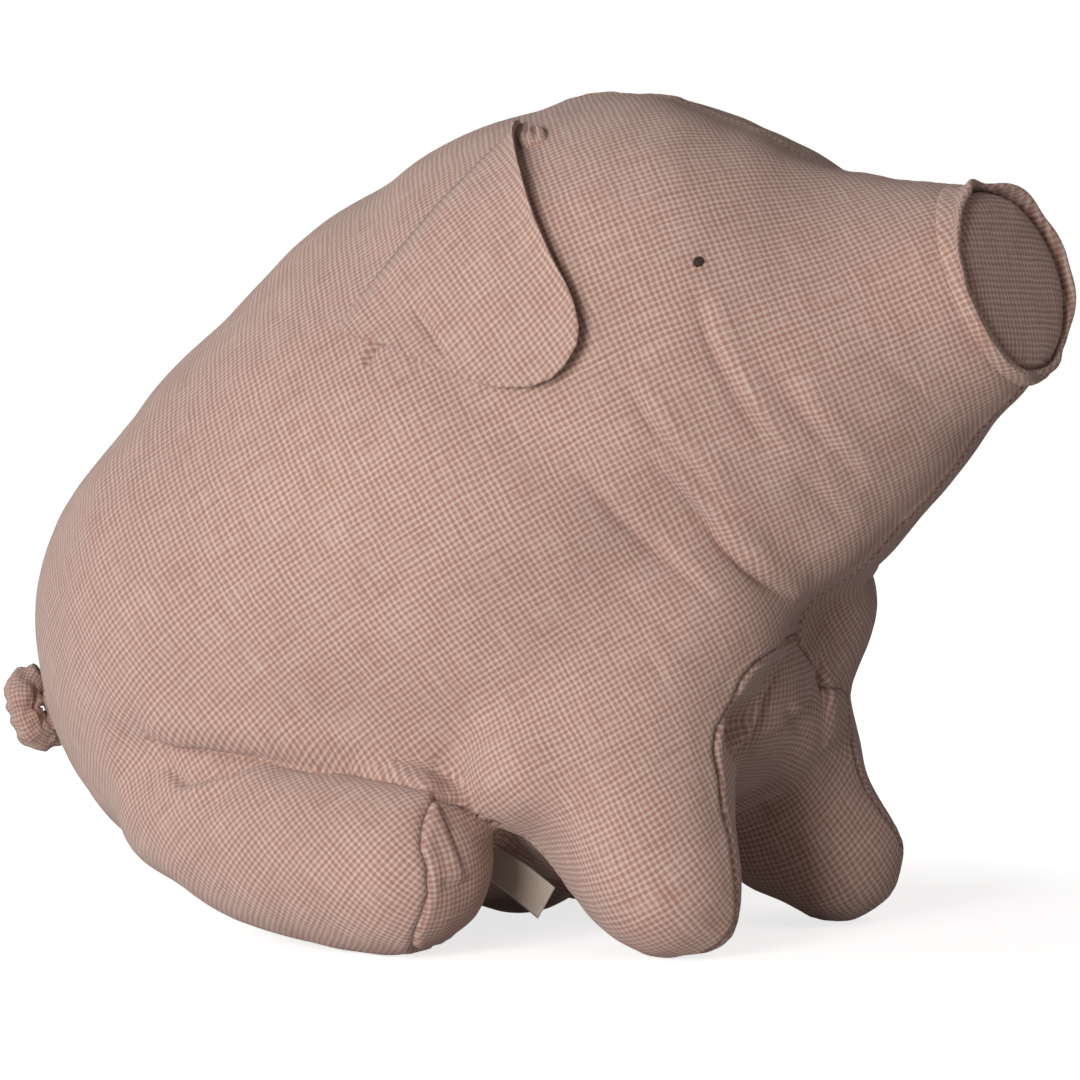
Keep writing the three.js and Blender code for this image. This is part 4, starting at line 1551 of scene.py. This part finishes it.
def make_tag():
    """A ribbon that bends a little along its length and thins towards its fold."""
    along = np.array((math.cos(tag_lean), 0, -math.sin(tag_lean)))
    upright = np.array((math.sin(tag_lean), 0, math.cos(tag_lean)))
    wide = upright * math.cos(tag_twist) - np.array((0, math.sin(tag_twist), 0))
    thick = np.cross(wide, along)
    steps, columns = np.linspace(0, 1, tag_steps + 1), np.linspace(-0.5, 0.5, tag_columns + 1)
    share, across = np.meshgrid(steps, columns, indexing="ij")
    bend = tag_bend * np.sin(share * tag_bend_turn) + tag_curl * share * across
    half = tag_thickness / 2 * np.maximum(tag_end_thinness, rounded_end(share, tag_end_share))
    share, across, bend, half = (values[:, :, None] for values in (share, across, bend, half))
    flat = tag_start + along * (tag_root + (tag_length - tag_root) * share) + wide * across * tag_width
    return add_piece("bare_tag", *closed_sheet(flat + thick * (bend - half), flat + thick * (bend + half)))


skin_cells = stuffed_field()
skin_points, skin_quads = surface_of(skin_cells)
coarse_points, coarse_quads = surface_of(skin_cells, coarse_step)
skin_points, coarse_points = bulged(skin_points), bulged(coarse_points)
skin_points[:, 2] = np.maximum(skin_points[:, 2], uncut_rest)
smooth_tree = tree_of(skin_points, skin_quads)
place_front_leg_seam(smooth_tree)
skin = add_piece("stuffed_skin", skin_points, skin_quads)
cut_panels(skin)
folds = placed_folds(smooth_tree)
refine_near(skin, fold_spots(folds))
skin_panels = lay_out_cloth(skin)
stuff(skin)
press_folds(skin, folds)
sew_seams(skin, skin_panels)
clothe(skin, "check_cotton")
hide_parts(*stuffed_nodes)
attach(skin, "stuffed_body")
skin_tree = mesh_tree(skin.data)

for side, hand in ((-1, "right"), (1, "left")):
    ear, root_place, edge_place, ear_spread, ear_area = make_ear(hand + "_ear_flap", side, skin_tree)
    clothe(ear, "check_cotton")
    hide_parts("ear_" + hand)
    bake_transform(ear)
    gather = make_gather(hand + "_ear_gather", side, skin_tree)
    clothe(gather, "check_cotton")
    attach(gather, "stuffed_body")
    eye = make_eye(hand + "_eye_knot", side, skin_tree)
    clothe(eye, "eye_thread")
    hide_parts("eye_" + hand)
    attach(eye, "stuffed_body")

flange = make_flange(skin)
clothe(flange, "check_cotton")
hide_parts("snout_flange")
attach(flange, "stuffed_body")

snout_disc = make_snout_panel()
clothe(snout_disc, "check_cotton")
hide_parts("snout_panel")
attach(snout_disc, "stuffed_body")

tail = make_tail()
clothe(tail, "check_cotton")
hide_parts("tail")
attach(tail, "curled_tail")

tag = make_tag()
clothe(tag, "tag_ribbon")
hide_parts("care_tag")
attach(tag, "sewn_tag")


# Studio: a pale floor that runs to the horizon, a white surround, and soft lamps.
floor_half = 6
floor_colour = (0.8, 0.8, 0.8, 1)
floor_glow_reach = (0.25, 0.7)
floor_glow_levels = (0.76, 1.0)
world_colour = (1.0, 0.9, 0.85, 1)
world_level = 0.11

# Each lamp's place, its size across and its power in watts.
lamps = {
    "key lamp": ((0.02, -2.59, 0.46), 1.1, 58),
    "side lamp": ((-2.02, -1.18, 1.29), 1.3, 15),
    "fill lamp": ((1.69, 0, 2.19), 1.3, 5),
}


def seen_directly(nodes):
    """1 for what the camera sees, by itself or in a gloss or through glass."""
    seen = nodes.add("ShaderNodeLightPath", output="Is Camera Ray")
    rays = seen.node.outputs
    for name in ("Is Glossy Ray", "Is Transmission Ray"):
        seen = nodes.math("MAXIMUM", seen, rays[name])
    return seen


def add_floor():
    corners = [(x * floor_half, y * floor_half, 0) for x, y in ((-1, -1), (1, -1), (1, 1), (-1, 1))]
    floor = add_piece("floor", corners, [(0, 1, 2, 3)], smooth=False)
    material = bpy.data.materials.new("pale floor")
    nodes = Nodes(material)
    diffuse = nodes.add("ShaderNodeBsdfDiffuse", {"Color": floor_colour})
    place = nodes.add("ShaderNodeTexCoord", output="Object")
    level = nodes.ease(nodes.vector("LENGTH", {0: place}, "Value"), *floor_glow_reach, *floor_glow_levels)
    glow = nodes.add("ShaderNodeEmission", {"Strength": level})
    both = nodes.add("ShaderNodeAddShader", {0: diffuse, 1: glow})
    nodes.finish(nodes.add("ShaderNodeMixShader", {"Fac": seen_directly(nodes), 1: diffuse, 2: both}))
    floor.data.materials.append(material)


def add_world():
    scene.world = bpy.data.worlds.new("studio")
    nodes = Nodes(scene.world)
    soft = nodes.add("ShaderNodeBackground", {"Color": world_colour, "Strength": world_level})
    clear = nodes.add("ShaderNodeBackground", {"Color": white, "Strength": 1})
    mix = nodes.add("ShaderNodeMixShader", {"Fac": seen_directly(nodes), 1: soft, 2: clear})
    nodes.finish(mix, "ShaderNodeOutputWorld")


def add_lamp(name, place, size, watts):
    data = bpy.data.lights.new(name, "AREA")
    data.shape = "DISK"
    data.size = size
    data.energy = watts
    lamp = bpy.data.objects.new(name, data)
    lamp.location = place
    lamp.rotation_euler = (camera_target - Vector(place)).to_track_quat("-Z", "Y").to_euler()
    scene.collection.objects.link(lamp)


add_floor()
add_world()
for name, lamp in lamps.items():
    add_lamp(name, *lamp)

scene.view_settings.view_transform = "Standard"
